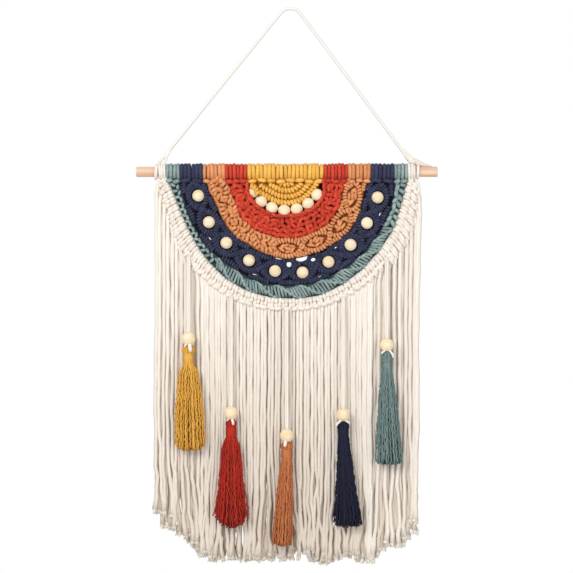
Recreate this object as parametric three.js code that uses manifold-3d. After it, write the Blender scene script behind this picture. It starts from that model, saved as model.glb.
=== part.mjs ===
// Macrame wall hanging on a wooden dowel. Millimetres, +Z up, the front faces -Y.
// The origin is the hang point: the underside of the hanger cord where it lies over its nail.
// Knotted bands are worked in polar sizes round the disc centre, which lies on the dowel's axis.
// Degrees run from the left end of the dowel (0) round the bottom (90) to the right end (180).
import * as THREE from "three";
import { mergeVertices } from "three/addons/utils/BufferGeometryUtils.js";
import Module from "manifold-3d";

const wasm = await Module();
wasm.setup();

// Driving sizes
const GAP = 0.3;
const DOWEL = { length: 350, radius: 6, ease: 0.8, sides: 16, x: -4.8, z: -188 };
const DISC_X = -1.0;
const ROW_STEP = 15;
const BAND_BACK = 4;
const SLEEVE = { crest: 9.9, valley: 8.6, sides: 10 };
const BORE_RADIUS = (DOWEL.radius + GAP) / Math.cos(Math.PI / SLEEVE.sides);

// Radii of the edges between the bands, one row for every 15 degrees
const EDGES = [
  { yellow: 44.9, bead: 45.2, red: 70.9, orange: 96.6, navy: 123.6, teal: 139.6, white: 145.4 },
  { yellow: 45.4, bead: 46.0, red: 67.5, orange: 91.9, navy: 123.3, teal: 132.0, white: 141.8 },
  { yellow: 40.9, bead: 48.5, red: 67.5, orange: 90.7, navy: 124.6, teal: 131.4, white: 144.2 },
  { yellow: 39.0, bead: 50.9, red: 73.3, orange: 94.8, navy: 126.6, teal: 136.0, white: 153.0 },
  { yellow: 38.8, bead: 51.2, red: 75.0, orange: 95.6, navy: 127.4, teal: 141.9, white: 158.8 },
  { yellow: 39.0, bead: 51.0, red: 75.6, orange: 98.4, navy: 131.6, teal: 146.0, white: 161.0 },
  { yellow: 39.3, bead: 50.6, red: 76.8, orange: 101.0, navy: 132.2, teal: 147.4, white: 161.0 },
  { yellow: 39.5, bead: 51.0, red: 76.8, orange: 100.2, navy: 132.6, teal: 148.6, white: 161.7 },
  { yellow: 40.0, bead: 51.2, red: 76.8, orange: 100.4, navy: 130.8, teal: 145.4, white: 160.5 },
  { yellow: 39.5, bead: 51.5, red: 75.6, orange: 101.4, navy: 129.7, teal: 142.3, white: 157.0 },
  { yellow: 40.2, bead: 49.6, red: 72.1, orange: 98.3, navy: 129.1, teal: 141.0, white: 155.2 },
  { yellow: 42.8, bead: 44.4, red: 68.0, orange: 94.2, navy: 128.2, teal: 139.0, white: 152.0 },
  { yellow: 43.6, bead: 43.9, red: 72.0, orange: 98.2, navy: 125.3, teal: 141.3, white: 147.8 },
];

// Beads of the two rows, and those that the tassels hang from
const INNER_BEADS = { count: 7, first: 31, pitch: 18.75, arc: 45, radius: 7, y: -2, sides: 10, rings: 4 };
const NAVY_BEAD = { radius: 7.5, y: -4.5, sides: 10, rings: 4 };
const NAVY_BEADS = [
  { at: 15.3, arc: 105.7 },
  { at: 33.2, arc: 107.1 },
  { at: 50.0, arc: 107.8 },
  { at: 67.3, arc: 111.6 },
  { at: 83.7, arc: 116.0 },
  { at: 99.3, arc: 118.6 },
  { at: 115.2, arc: 115.7 },
  { at: 131.4, arc: 113.2 },
  { at: 147.6, arc: 111.2 },
  { at: 164.3, arc: 110.4 },
];
const TASSEL_BEAD = { radius: 8, half: 7, bore: 2.4, sides: 8, y: -10.4 };

// Fringe: the hem's drop below the dowel axis against the distance from the dowel's middle
const HEM = [
  { across: -156, drop: 394 },
  { across: -140, drop: 418 },
  { across: -131, drop: 430 },
  { across: -114, drop: 442 },
  { across: -78, drop: 455 },
  { across: -54, drop: 450 },
  { across: -30, drop: 457 },
  { across: 13, drop: 447 },
  { across: 51, drop: 459 },
  { across: 74, drop: 449 },
  { across: 105, drop: 455 },
  { across: 124, drop: 436 },
  { across: 141, drop: 430 },
  { across: 156, drop: 380 },
];
const FRINGE = {
  half: 153.6,
  front: 68,
  radius: 2.05,
  sides: 3,
  layer: 4.6,
  strip: 5,
  stripHalf: 3,
  sway: 1.6,
  ragged: 4,
  steps: 2,
};
const STRAND_PITCH = (2 * FRINGE.half) / (FRINGE.front - 1);
// Beyond `steep` the strands leave the steep sides of the edge and hang in three layers
const SIDES = { steep: 104, topLeft: 140.5, topRight: 146.6, second: 107, third: 114 };
// The white knots take up their full edge for three ribs by the dowel, then the strip begins
const WHITE_RIBS = 48;
const STRIP_START = (3 * 180) / WHITE_RIBS + 0.2;
const STRIP_STEP = 4.5;
// The strip is parted half way between two strands, this many strands from each end
const SPLIT_STRANDS = 15;

// Tassels: bead and skirt places from the dowel's middle, drops below its axis
const TASSELS = [
  { bead: -114.1, beadDrop: 194, neckDrop: 222, endDrop: 325, end: -112.7, spread: 17.5, colour: "mustard" },
  { bead: -64.7, beadDrop: 280, neckDrop: 308, endDrop: 414, end: -64.4, spread: 20.5, colour: "rust" },
  { bead: -0.2, beadDrop: 306, neckDrop: 336, endDrop: 435, end: -5.5, spread: 11.5, colour: "terracotta" },
  { bead: 65.2, beadDrop: 282, neckDrop: 308, endDrop: 413, end: 70.6, spread: 17.0, colour: "midnight" },
  { bead: 115.7, beadDrop: 201, neckDrop: 228, endDrop: 341, end: 118.4, spread: 16.5, colour: "sea" },
];
const TASSEL = { head: 5.6, neck: 4.7, depth: 7.2, locks: 10, lockRoot: 1.2, sides: 8 };
const TASSEL_CORD = { radius: 1.7, sides: 4, steps: 6 };

// Hanger cord: points along its middle, from the left tie over the nail to the right tie
const HANGER = { radius: 1.8, sides: 8, steps: 45 };
const HANGER_ROUTE = [
  { x: -153.3, z: -177.8 },
  { x: -152.9, z: -176.0 },
  { x: -150.4, z: -173.4 },
  { x: -140.0, z: -161.2 },
  { x: -116.0, z: -131.6 },
  { x: -92.0, z: -101.9 },
  { x: -68.0, z: -72.3 },
  { x: -44.0, z: -42.7 },
  { x: -22.0, z: -15.6 },
  { x: -10.5, z: -1.8 },
  { x: -7.2, z: 1.0 },
  { x: -3.7, z: 1.7 },
  { x: 0.0, z: 1.8 },
  { x: 3.2, z: 1.6 },
  { x: 6.0, z: 0.6 },
  { x: 8.6, z: -1.6 },
  { x: 22.0, z: -18.8 },
  { x: 44.0, z: -48.5 },
  { x: 68.0, z: -80.8 },
  { x: 92.0, z: -113.2 },
  { x: 116.0, z: -145.5 },
  { x: 130.0, z: -164.4 },
  { x: 136.8, z: -173.6 },
  { x: 138.5, z: -176.0 },
  { x: 138.8, z: -177.8 },
];
const WRAPS = [
  { name: "hanger_wrap_left", from: -153.5, to: -146.8 },
  { name: "hanger_wrap_right", from: 147.5, to: 153.4 },
];
const TAIL_ROUTE = [
  { x: 150.4, y: 3.0, z: 8.6 },
  { x: 155.0, y: 6.0, z: 9.2 },
  { x: 162.0, y: 7.6, z: 7.2 },
  { x: 168.5, y: 8.4, z: 5.2 },
];

const COLOURS = {
  wood: 0xefc59c,
  beadWood: 0xf7e6cb,
  cotton: 0xede7dd,
  yellow: 0xe0a83a,
  red: 0xd8452f,
  orange: 0xdb935a,
  navy: 0x262a4d,
  teal: 0x7fa3a0,
  mustard: 0xd0902a,
  rust: 0xb8321f,
  terracotta: 0xb5623a,
  midnight: 0x1c1f38,
  sea: 0x5e7d7c,
};

const radians = (degrees) => THREE.MathUtils.degToRad(degrees);
const mix = THREE.MathUtils.lerp;

// Smooth curve through the rows of EDGES
function edge(column, degrees) {
  const place = THREE.MathUtils.clamp(degrees / ROW_STEP, 0, EDGES.length - 1);
  const row = Math.min(Math.floor(place), EDGES.length - 2);
  const at = (index) => EDGES[THREE.MathUtils.clamp(index, 0, EDGES.length - 1)][column];
  const t = place - row;
  const slopeIn = (at(row + 1) - at(row - 1)) / 2;
  const slopeOut = (at(row + 2) - at(row)) / 2;
  const ease = t * t * (3 - 2 * t);
  const tangents = slopeIn * t * (1 - t) * (1 - t) - slopeOut * t * t * (1 - t);
  return mix(at(row), at(row + 1), ease) + tangents;
}

// A point of the disc, in the group whose origin is the middle of the dowel
function discPoint(degrees, radius, y = 0) {
  const angle = radians(degrees);
  return new THREE.Vector3(DISC_X - radius * Math.cos(angle), y, -radius * Math.sin(angle));
}

function signedVolume(geometry) {
  const points = geometry.attributes.position;
  const index = geometry.index;
  const [a, b, c] = [new THREE.Vector3(), new THREE.Vector3(), new THREE.Vector3()];
  let volume = 0;
  for (let i = 0; i < index.count; i += 3) {
    a.fromBufferAttribute(points, index.getX(i));
    b.fromBufferAttribute(points, index.getX(i + 1));
    c.fromBufferAttribute(points, index.getX(i + 2));
    volume += a.dot(b.cross(c)) / 6;
  }
  return volume;
}

// Shared vertices only, with the faces turned to point out
function closed(geometry) {
  const bare = geometry.clone();
  bare.deleteAttribute("normal");
  bare.deleteAttribute("uv");
  const merged = mergeVertices(bare, 1e-4);
  if (signedVolume(merged) < 0) {
    const index = merged.index;
    for (let i = 0; i < index.count; i += 3) {
      const first = index.getX(i);
      index.setX(i, index.getX(i + 2));
      index.setX(i + 2, first);
    }
  }
  return merged;
}

function solid(geometry) {
  const body = closed(geometry);
  const vertProperties = new Float32Array(body.attributes.position.array);
  const triVerts = new Uint32Array(body.index.array);
  return new wasm.Manifold(new wasm.Mesh({ numProp: 3, vertProperties, triVerts }));
}

function geometryOf(body) {
  const mesh = body.getMesh();
  const geometry = new THREE.BufferGeometry();
  geometry.setAttribute("position", new THREE.BufferAttribute(mesh.vertProperties, 3));
  geometry.setIndex(new THREE.BufferAttribute(mesh.triVerts, 1));
  geometry.computeVertexNormals();
  return geometry;
}

const join = (bodies) => bodies.reduce((whole, body) => whole.add(body));

// Skin over a row of closed sections with the same number of points, shut at both ends
function loft(sections) {
  const count = sections[0].length;
  const positions = sections.flat().flatMap((point) => [point.x, point.y, point.z]);
  const faces = [];
  for (let s = 0; s + 1 < sections.length; s += 1) {
    for (let p = 0; p < count; p += 1) {
      const here = s * count + p;
      const beside = s * count + ((p + 1) % count);
      faces.push(here, beside, beside + count, here, beside + count, here + count);
    }
  }
  const last = (sections.length - 1) * count;
  for (let p = 1; p + 1 < count; p += 1) {
    faces.push(0, p + 1, p, last, last + p, last + p + 1);
  }
  const geometry = new THREE.BufferGeometry();
  geometry.setAttribute("position", new THREE.Float32BufferAttribute(positions, 3));
  geometry.setIndex(faces);
  return geometry;
}

// A band between two edges: the front is raised by height(step, column), the back is plain
function bandSolid({ stations, columns, inner, outer, height }) {
  const sections = stations.map((degrees, step) => {
    const radii = [inner(degrees, step), outer(degrees, step)];
    const section = [discPoint(degrees, radii[0], BAND_BACK)];
    for (let column = 0; column <= columns; column += 1) {
      const radius = mix(radii[0], radii[1], column / columns);
      section.push(discPoint(degrees, radius, -height(step, column)));
    }
    section.push(discPoint(degrees, radii[1], BAND_BACK));
    return section;
  });
  return solid(loft(sections));
}

function evenStations(count, from = 0, to = 180) {
  return Array.from({ length: count + 1 }, (_, step) => mix(from, to, step / count));
}

// Mounting knots side by side on the dowel: a ribbed sleeve, bored for the dowel
function sleeve(from, to, ribs) {
  const profile = [new THREE.Vector2(BORE_RADIUS, from), new THREE.Vector2(BORE_RADIUS, to)];
  profile.push(new THREE.Vector2(SLEEVE.valley, to));
  for (let rib = ribs - 1; rib >= 0; rib -= 1) {
    profile.push(new THREE.Vector2(SLEEVE.crest, mix(from, to, (rib + 0.5) / ribs)));
    profile.push(new THREE.Vector2(SLEEVE.valley, mix(from, to, rib / ribs)));
  }
  profile.push(profile[0].clone());
  return solid(new THREE.LatheGeometry(profile, SLEEVE.sides).rotateZ(-Math.PI / 2));
}

// A round bar along the dowel, with the facets of the sleeves
function alongDowel(radius, from, to) {
  const bar = new THREE.CylinderGeometry(radius, radius, to - from, SLEEVE.sides);
  return solid(bar.rotateZ(-Math.PI / 2).translate((from + to) / 2, 0, 0));
}

function ball({ radius, sides, rings }, centre) {
  return new THREE.SphereGeometry(radius, sides, rings).translate(centre.x, centre.y, centre.z);
}

// The round room that a bead needs in the knots, open at front and back
function beadRoom({ radius, sides }, centre) {
  const reach = radius + GAP / Math.cos(Math.PI / sides);
  const room = new THREE.CylinderGeometry(reach, reach, 40, sides).rotateY(Math.PI / 2);
  return solid(room.translate(centre.x, 0, centre.z));
}

const innerBeadPlace = (index) =>
  discPoint(INNER_BEADS.first + INNER_BEADS.pitch * index, INNER_BEADS.arc, INNER_BEADS.y);
const navyBeadPlace = ({ at, arc }) => discPoint(at, arc, NAVY_BEAD.y);
const innerPlaces = Array.from({ length: INNER_BEADS.count }, (_, index) => innerBeadPlace(index));
const navyPlaces = NAVY_BEADS.map(navyBeadPlace);

// The inner edge of a band, kept clear of its neighbour between stations as well
function clearOf(column, spacing) {
  return (degrees) => (edge(column, degrees) + GAP) / Math.cos(radians(spacing / 2));
}

// A band cut clear of the dowel and of its beads, with ribbed mounting knots at its two ends
function onSleeves(band, { inner, outer, ribs, beads = [], beadSize = INNER_BEADS }) {
  const [left, right] = [EDGES[0], EDGES[EDGES.length - 1]];
  const within = [DISC_X - left[inner] - GAP, DISC_X + right[inner] + GAP];
  const sleeves = [
    sleeve(DISC_X - left[outer], within[0], ribs),
    sleeve(within[1], DISC_X + right[outer], ribs),
  ];
  const neighbours = alongDowel(SLEEVE.crest + 2 * GAP, within[0], within[1]);
  const bore = alongDowel(BORE_RADIUS, -DOWEL.length / 2, DOWEL.length / 2);
  return cutForBeads(join([band.subtract(neighbours).subtract(bore), ...sleeves]), beads, beadSize);
}

const cutForBeads = (body, beads, size) =>
  beads.reduce((rest, place) => rest.subtract(beadRoom(size, place)), body);

function yellowFan() {
  const rows = 5;
  const hitches = 14;
  const band = bandSolid({
    stations: evenStations(hitches),
    columns: rows * 2,
    inner: () => BORE_RADIUS / 2,
    outer: (degrees) => edge("yellow", degrees),
    height: (step, column) => 3.4 + (column % 2) * 1.6 + (step % 2) * 0.5,
  });
  const ends = [DISC_X - EDGES[0].yellow, DISC_X + EDGES[EDGES.length - 1].yellow];
  const mounted = band.subtract(alongDowel(BORE_RADIUS, ends[0], ends[1])).add(sleeve(...ends, 11));
  return cutForBeads(mounted, innerPlaces, INNER_BEADS);
}

function redBand() {
  const berries = 26;
  const berry = (step, column) => ((step + (column - 1) / 2) % 2 === 0 ? 7 : 3.6);
  const band = bandSolid({
    stations: evenStations(berries),
    columns: 6,
    inner: clearOf("bead", 180 / berries),
    outer: (degrees) => edge("red", degrees),
    height: (step, column) => (column % 2 === 1 ? berry(step, column) : 3.2),
  });
  return onSleeves(band, { inner: "bead", outer: "red", ribs: 3, beads: innerPlaces });
}

function orangeBand() {
  const leaves = 9;
  const perLeaf = 3;
  const crown = [3.4, 6.2, 6.2];
  const band = bandSolid({
    stations: evenStations(leaves * perLeaf),
    columns: 4,
    inner: clearOf("red", 180 / leaves / perLeaf),
    outer: (degrees) => edge("orange", degrees),
    height: (step, column) => mix(3, crown[step % perLeaf], Math.sin((Math.PI * column) / 4)),
  });
  return onSleeves(band, { inner: "red", outer: "orange", ribs: 3 });
}

// Stations of the navy band: each diamond opens from one crossing of its cords to the next
function diamondStations(perDiamond) {
  const ends = NAVY_BEADS.map(({ at }, index) => {
    const next = NAVY_BEADS[index + 1];
    return next ? (at + next.at) / 2 : 2 * at - (at + NAVY_BEADS[index - 1].at) / 2;
  });
  const starts = [2 * NAVY_BEADS[0].at - ends[0], ...ends.slice(0, -1)];
  const stations = [{ degrees: 0, open: 0 }];
  starts.forEach((start, index) => {
    for (let step = 0; step < perDiamond; step += 1) {
      const share = step / perDiamond;
      stations.push({ degrees: mix(start, ends[index], share), open: Math.sin(Math.PI * share) });
    }
  });
  stations.push({ degrees: ends[ends.length - 1], open: 0 }, { degrees: 180, open: 0 });
  return stations;
}

function navyBand() {
  const columns = 6;
  const notch = { inner: 3.2, outer: 1.2 };
  const perDiamond = 4;
  const stations = diamondStations(perDiamond);
  const inner = clearOf("orange", INNER_BEADS.pitch / perDiamond);
  const waist = (step) => (1 - stations[step].open) ** 2;
  const barHeight = (step, column) => {
    const bar = 0.42 * stations[step].open;
    const offset = (Math.abs(column / columns - 0.5) - bar) / 0.16;
    return 3.2 + 3.2 * Math.exp(-offset * offset);
  };
  const band = bandSolid({
    stations: stations.map(({ degrees }) => degrees),
    columns,
    inner: (degrees, step) => inner(degrees) + notch.inner * waist(step),
    outer: (degrees, step) => edge("navy", degrees) - notch.outer * waist(step),
    height: barHeight,
  });
  const beads = { beads: navyPlaces, beadSize: NAVY_BEAD };
  return onSleeves(band, { inner: "orange", outer: "navy", ribs: 3, ...beads });
}

function tealBand() {
  const twists = 44;
  const band = bandSolid({
    stations: evenStations(twists),
    columns: 3,
    inner: clearOf("navy", 180 / twists),
    outer: (degrees) => edge("teal", degrees),
    height: (step, column) => (column % 3 === 0 ? 2.6 : 4.4) + ((step + column) % 2) * 1.4,
  });
  return onSleeves(band, { inner: "navy", outer: "teal", ribs: 2 });
}

// The white band reaches the full edge at the dowel, and makes room for the strip below it
function whiteReach(degrees) {
  const fromDowel = Math.min(degrees, 180 - degrees);
  const room = fromDowel < STRIP_START - 1 ? 0 : FRINGE.strip + GAP;
  return edge("white", degrees) - room;
}

function whiteBand() {
  const band = bandSolid({
    stations: evenStations(WHITE_RIBS),
    columns: 2,
    inner: clearOf("teal", 180 / WHITE_RIBS),
    outer: whiteReach,
    height: (step, column) => (column === 1 ? 4 : 2.6) + (step % 2) * 1.3,
  });
  return onSleeves(band, { inner: "teal", outer: "white", ribs: 1 });
}

// The hem's drop at a distance from the middle
function hemDrop(across) {
  const place = THREE.MathUtils.clamp(across, HEM[0].across, HEM[HEM.length - 1].across);
  const next = Math.max(1, HEM.findIndex((row) => row.across >= place));
  const [low, high] = [HEM[next - 1], HEM[next]];
  return mix(low.drop, high.drop, (place - low.across) / (high.across - low.across));
}

// Degrees at which the white edge lies at a distance from the middle, by halving
function degreesAt(across) {
  let [low, high] = [0, 180];
  for (let turn = 0; turn < 30; turn += 1) {
    const middle = (low + high) / 2;
    const isLeft = discPoint(middle, edge("white", middle)).x < across;
    [low, high] = isLeft ? [middle, high] : [low, middle];
  }
  return (low + high) / 2;
}

// Where a strand leaves the edge: above its hanging place, or up the steep sides
function rootDegrees(across) {
  const over = Math.max(0, Math.abs(across) - SIDES.steep);
  const share = over / (FRINGE.half - SIDES.steep);
  const top = across < 0 ? SIDES.topLeft : SIDES.topRight;
  return degreesAt(over > 0 ? Math.sign(across) * mix(SIDES.steep, top, share) : across);
}

// One strand: rooted in the strip, over its edge, then down to the hem with a slow sway
function strandPoints(across, layer) {
  const degrees = rootDegrees(across);
  const y = layer * FRINGE.layer;
  const outer = edge("white", degrees);
  const root = discPoint(degrees, outer - FRINGE.strip / 2, Math.min(y, 1.5));
  const lip = discPoint(degrees, outer + 2, y);
  const drop = hemDrop(across) - layer * 6 + FRINGE.ragged * Math.sin(across * 1.7);
  const points = [root, lip];
  for (let step = 0; step <= FRINGE.steps; step += 1) {
    const z = mix(lip.z - 14, -drop, step / FRINGE.steps);
    const sway = FRINGE.sway * Math.sin(z / 34 + across / 40) * Math.min(1, step);
    points.push(new THREE.Vector3(across + sway, y, z));
  }
  return { degrees, points };
}

// A thin rod of few sides along its points, its radius changing evenly to its end
function rod(points, sides, startRadius, endRadius = startRadius) {
  const sections = points.map((point, index) => {
    const before = points[Math.max(0, index - 1)];
    const after = points[Math.min(points.length - 1, index + 1)];
    const along = after.clone().sub(before).normalize();
    const depth = new THREE.Vector3(0, -1, 0).addScaledVector(along, along.y).normalize();
    const side = depth.clone().cross(along);
    const radius = mix(startRadius, endRadius, index / (points.length - 1));
    return Array.from({ length: sides }, (_, corner) => {
      const turn = (2 * Math.PI * corner) / sides;
      const across = side.clone().multiplyScalar(radius * Math.sin(turn));
      return point.clone().add(across).addScaledVector(depth, radius * Math.cos(turn));
    });
  });
  return solid(loft(sections));
}

// A full front layer, and at both sides a second layer between its strands and a third behind it
function allStrands() {
  const strands = [];
  for (let index = 0; index < FRINGE.front; index += 1) {
    const across = index * STRAND_PITCH - FRINGE.half;
    const between = across + STRAND_PITCH / 2;
    strands.push(strandPoints(across, 0));
    if (Math.abs(between) > SIDES.second && between < FRINGE.half) {
      strands.push(strandPoints(between, 1));
    }
    if (Math.abs(across) > SIDES.third) {
      strands.push(strandPoints(across, 2));
    }
  }
  return strands;
}

// The three lengths of the strip, in degrees, a little apart from each other
function fringeParts() {
  const split = degreesAt((SPLIT_STRANDS - 0.5) * STRAND_PITCH - FRINGE.half);
  const farSplit = degreesAt(FRINGE.half - (SPLIT_STRANDS - 0.5) * STRAND_PITCH);
  const clear = THREE.MathUtils.radToDeg(GAP / edge("white", split) / 2);
  return [
    { name: "fringe_left", from: STRIP_START, to: split - clear },
    { name: "fringe_middle", from: split + clear, to: farSplit - clear },
    { name: "fringe_right", from: farSplit + clear, to: 180 - STRIP_START },
  ];
}

function fringePart({ from, to }, strands) {
  const strip = bandStrip(from, to);
  const mine = strands.filter(({ degrees }) => degrees > from && degrees <= to);
  const rods = mine.map(({ points }) => rod(points, FRINGE.sides, FRINGE.radius));
  return join([strip, ...rods]);
}

// The knotted edge that the strands hang from, parted from the white band
function bandStrip(from, to) {
  const steps = Math.ceil((to - from) / STRIP_STEP);
  const sections = evenStations(steps, from, to).map((degrees, step) => {
    const high = edge("white", degrees);
    const low = (high - FRINGE.strip) / Math.cos(radians(STRIP_STEP / 2));
    const front = FRINGE.stripHalf + (step % 2) * 0.8;
    return [
      discPoint(degrees, low, FRINGE.stripHalf),
      discPoint(degrees, low, -front),
      discPoint(degrees, high, -front),
      discPoint(degrees, high, FRINGE.stripHalf),
    ];
  });
  return solid(loft(sections));
}

// A wooden bead turned with its bore upright
function boredBead({ bead, beadDrop }) {
  const { radius, half, bore } = TASSEL_BEAD;
  const rim = Math.sqrt(radius * radius - half * half);
  const mid = half * 0.58;
  const bulge = Math.sqrt(radius * radius - mid * mid);
  const outline = [
    [bore, -half],
    [rim, -half],
    [bulge, -mid],
    [radius, 0],
    [bulge, mid],
    [rim, half],
    [bore, half],
    [bore, -half],
  ];
  const profile = outline.map(([across, up]) => new THREE.Vector2(across, up));
  const turned = new THREE.LatheGeometry(profile, TASSEL_BEAD.sides).rotateX(Math.PI / 2);
  return turned.translate(bead, TASSEL_BEAD.y, -beadDrop);
}

// White cord from the knotted edge down through the bead
function tasselCord({ bead, beadDrop }) {
  const degrees = degreesAt(bead);
  const edgePoint = discPoint(degrees, edge("white", degrees) - FRINGE.strip / 2);
  const startY = -FRINGE.stripHalf - 0.8 - GAP - TASSEL_CORD.radius;
  const endZ = -beadDrop - TASSEL_BEAD.half;
  const points = [];
  for (let step = 0; step <= TASSEL_CORD.steps; step += 1) {
    const share = step / TASSEL_CORD.steps;
    const y = mix(startY, TASSEL_BEAD.y, Math.min(1, share * 1.5));
    points.push(new THREE.Vector3(bead, y, mix(edgePoint.z, endZ - 20, share)));
  }
  const lower = points.filter((point) => point.z > -beadDrop + TASSEL_BEAD.half + 4);
  lower.push(new THREE.Vector3(bead, TASSEL_BEAD.y, -beadDrop + TASSEL_BEAD.half + 2));
  lower.push(new THREE.Vector3(bead, TASSEL_BEAD.y, endZ));
  return rod(lower, TASSEL_CORD.sides, TASSEL_CORD.radius);
}

// Folded head, bound neck and a skirt of tapering locks, pressed flat against the fringe
function tassel({ bead, beadDrop, neckDrop, endDrop, end, spread }) {
  const top = -beadDrop - TASSEL_BEAD.half - GAP;
  const neck = -neckDrop;
  const length = top - neck;
  const outline = [
    [0, -6],
    [TASSEL.neck - 0.6, -6],
    [TASSEL.neck, 0],
    [TASSEL.neck, 3],
    [TASSEL.head, 5],
    [TASSEL.head, length - 4],
    [TASSEL.head - 2, length],
    [0, length],
  ];
  const profile = outline.map(([across, up]) => new THREE.Vector2(across, up));
  const turned = new THREE.LatheGeometry(profile, TASSEL.sides).rotateX(Math.PI / 2);
  const head = solid(turned.translate(bead, TASSEL_BEAD.y, neck));
  const lockEnd = spread * 0.2;
  const locks = Array.from({ length: TASSEL.locks }, (_, index) => {
    const turn = (2 * Math.PI * (index + 0.5)) / TASSEL.locks;
    const [sine, cosine] = [Math.sin(turn), Math.cos(turn)];
    const place = (share, reach) => {
      const width = mix(TASSEL.neck - 1.8, spread - lockEnd, reach);
      const depth = mix(TASSEL.neck - 1.8, TASSEL.depth - lockEnd, reach);
      const x = mix(bead, end, reach) + width * cosine;
      return new THREE.Vector3(x, TASSEL_BEAD.y + depth * sine, mix(neck - 1, -endDrop, share));
    };
    const points = [place(0, 0), place(0.3, 0.65), place(1, 1)];
    return rod(points, 3, TASSEL.lockRoot, lockEnd);
  });
  return join([head, ...locks]);
}

function dowel() {
  const { length, radius, ease, sides } = DOWEL;
  const half = length / 2;
  const outline = [
    [0, -half],
    [radius - ease, -half],
    [radius, ease - half],
    [radius, half - ease],
    [radius - ease, half],
    [0, half],
  ];
  const profile = outline.map(([across, along]) => new THREE.Vector2(across, along));
  return new THREE.LatheGeometry(profile, sides).rotateZ(-Math.PI / 2);
}

// A round section swept along a smooth route
function cordGeometry(route, { radius, sides, steps }) {
  const points = route.map(({ x, y = 0, z }) => new THREE.Vector3(x, y, z));
  const outline = Array.from({ length: sides }, (_, corner) => {
    const turn = (2 * Math.PI * corner) / sides;
    return new THREE.Vector2(radius * Math.cos(turn), radius * Math.sin(turn));
  });
  const extrudePath = new THREE.CatmullRomCurve3(points, false, "centripetal");
  return new THREE.ExtrudeGeometry(new THREE.Shape(outline), { steps, extrudePath, bevelEnabled: false });
}

// The hanger cord's two turns on the dowel; the right tie keeps its free tail
function wrap({ name, from, to }) {
  const turns = sleeve(from, to, 2);
  if (name === "hanger_wrap_left") {
    return turns;
  }
  return turns.add(solid(cordGeometry(TAIL_ROUTE, { ...HANGER, steps: 8 })));
}

const hanging = new THREE.Group();
const onDowel = new THREE.Group();
onDowel.position.set(DOWEL.x, 0, DOWEL.z);
hanging.add(onDowel);

function addMesh(parent, name, geometry, colour, roughness = 0.9) {
  const material = new THREE.MeshStandardMaterial({ color: COLOURS[colour], roughness, metalness: 0 });
  const mesh = new THREE.Mesh(geometry, material);
  mesh.name = name;
  parent.add(mesh);
}

addMesh(onDowel, "dowel", closed(dowel()), "wood", 0.6);
addMesh(hanging, "hanger_cord", closed(cordGeometry(HANGER_ROUTE, HANGER)), "cotton");
for (const tie of WRAPS) {
  addMesh(onDowel, tie.name, geometryOf(wrap(tie)), "cotton");
}
addMesh(onDowel, "yellow_fan", geometryOf(yellowFan()), "yellow");
addMesh(onDowel, "red_band", geometryOf(redBand()), "red");
addMesh(onDowel, "orange_band", geometryOf(orangeBand()), "orange");
addMesh(onDowel, "navy_band", geometryOf(navyBand()), "navy");
addMesh(onDowel, "teal_band", geometryOf(tealBand()), "teal");
addMesh(onDowel, "white_band", geometryOf(whiteBand()), "cotton");

innerPlaces.forEach((place, index) => {
  addMesh(onDowel, `inner_bead_${index + 1}`, closed(ball(INNER_BEADS, place)), "beadWood", 0.6);
});
navyPlaces.forEach((place, index) => {
  addMesh(onDowel, `navy_bead_${index + 1}`, closed(ball(NAVY_BEAD, place)), "beadWood", 0.6);
});

const strands = allStrands();
for (const part of fringeParts()) {
  addMesh(onDowel, part.name, geometryOf(fringePart(part, strands)), "cotton");
}
TASSELS.forEach((row, index) => {
  addMesh(onDowel, `tassel_cord_${index + 1}`, geometryOf(tasselCord(row)), "cotton");
  addMesh(onDowel, `tassel_bead_${index + 1}`, closed(boredBead(row)), "beadWood", 0.6);
  addMesh(onDowel, `tassel_${index + 1}`, geometryOf(tassel(row)), row.colour);
});

export default hanging;
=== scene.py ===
"""Looks of the macrame wall hanging: its cords, knots, beads, tassels, dowel and studio.

Sizes are millimetres and MM turns them into metres. Polar places run in degrees round the half
disc, from the dowel's left end (0) past the bottom (90) to its right end (180).
"""

import logging
import math
import random
from collections.abc import Callable, Sequence
from dataclasses import dataclass, field
from enum import Enum

import bmesh
import bpy
from bmesh.types import BMesh
from bpy.types import Mesh, NodeSocket, Object
from mathutils import Matrix, Vector


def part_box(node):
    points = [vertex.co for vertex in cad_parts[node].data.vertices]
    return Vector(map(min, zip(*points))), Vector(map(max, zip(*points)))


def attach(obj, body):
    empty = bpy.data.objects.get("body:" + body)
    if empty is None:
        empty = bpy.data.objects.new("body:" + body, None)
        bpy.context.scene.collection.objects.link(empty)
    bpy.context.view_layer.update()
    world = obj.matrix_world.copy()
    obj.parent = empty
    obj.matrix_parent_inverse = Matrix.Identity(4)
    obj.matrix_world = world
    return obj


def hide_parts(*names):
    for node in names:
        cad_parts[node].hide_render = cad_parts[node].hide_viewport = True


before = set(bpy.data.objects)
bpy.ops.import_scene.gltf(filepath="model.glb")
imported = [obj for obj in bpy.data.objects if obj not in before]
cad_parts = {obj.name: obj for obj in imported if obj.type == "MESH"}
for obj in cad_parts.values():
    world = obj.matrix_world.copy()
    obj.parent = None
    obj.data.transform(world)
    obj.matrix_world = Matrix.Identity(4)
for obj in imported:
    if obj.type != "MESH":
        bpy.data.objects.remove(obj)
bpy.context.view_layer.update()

# Short names for the types that come up most
Pair =tuple[float, float]
Three = tuple[float, float, float]
Points = Sequence[Vector]

MM = 0.001
CENTIMETRE = 10
LOG = logging.getLogger("wall_hanging")

DOWEL_MIDDLE = Vector((-4.8, 0.0, -188.0))
DISC_SHIFT = -1.0
DISC_MIDDLE = DOWEL_MIDDLE + Vector((DISC_SHIFT, 0.0, 0.0))
TOWARDS_VIEWER = Vector((0.0, -1.0, 0.0))
UP = Vector((0.0, 0.0, 1.0))
DOWEL_RADIUS = 6.0

NOISE_DETAIL = 3.0

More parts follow.
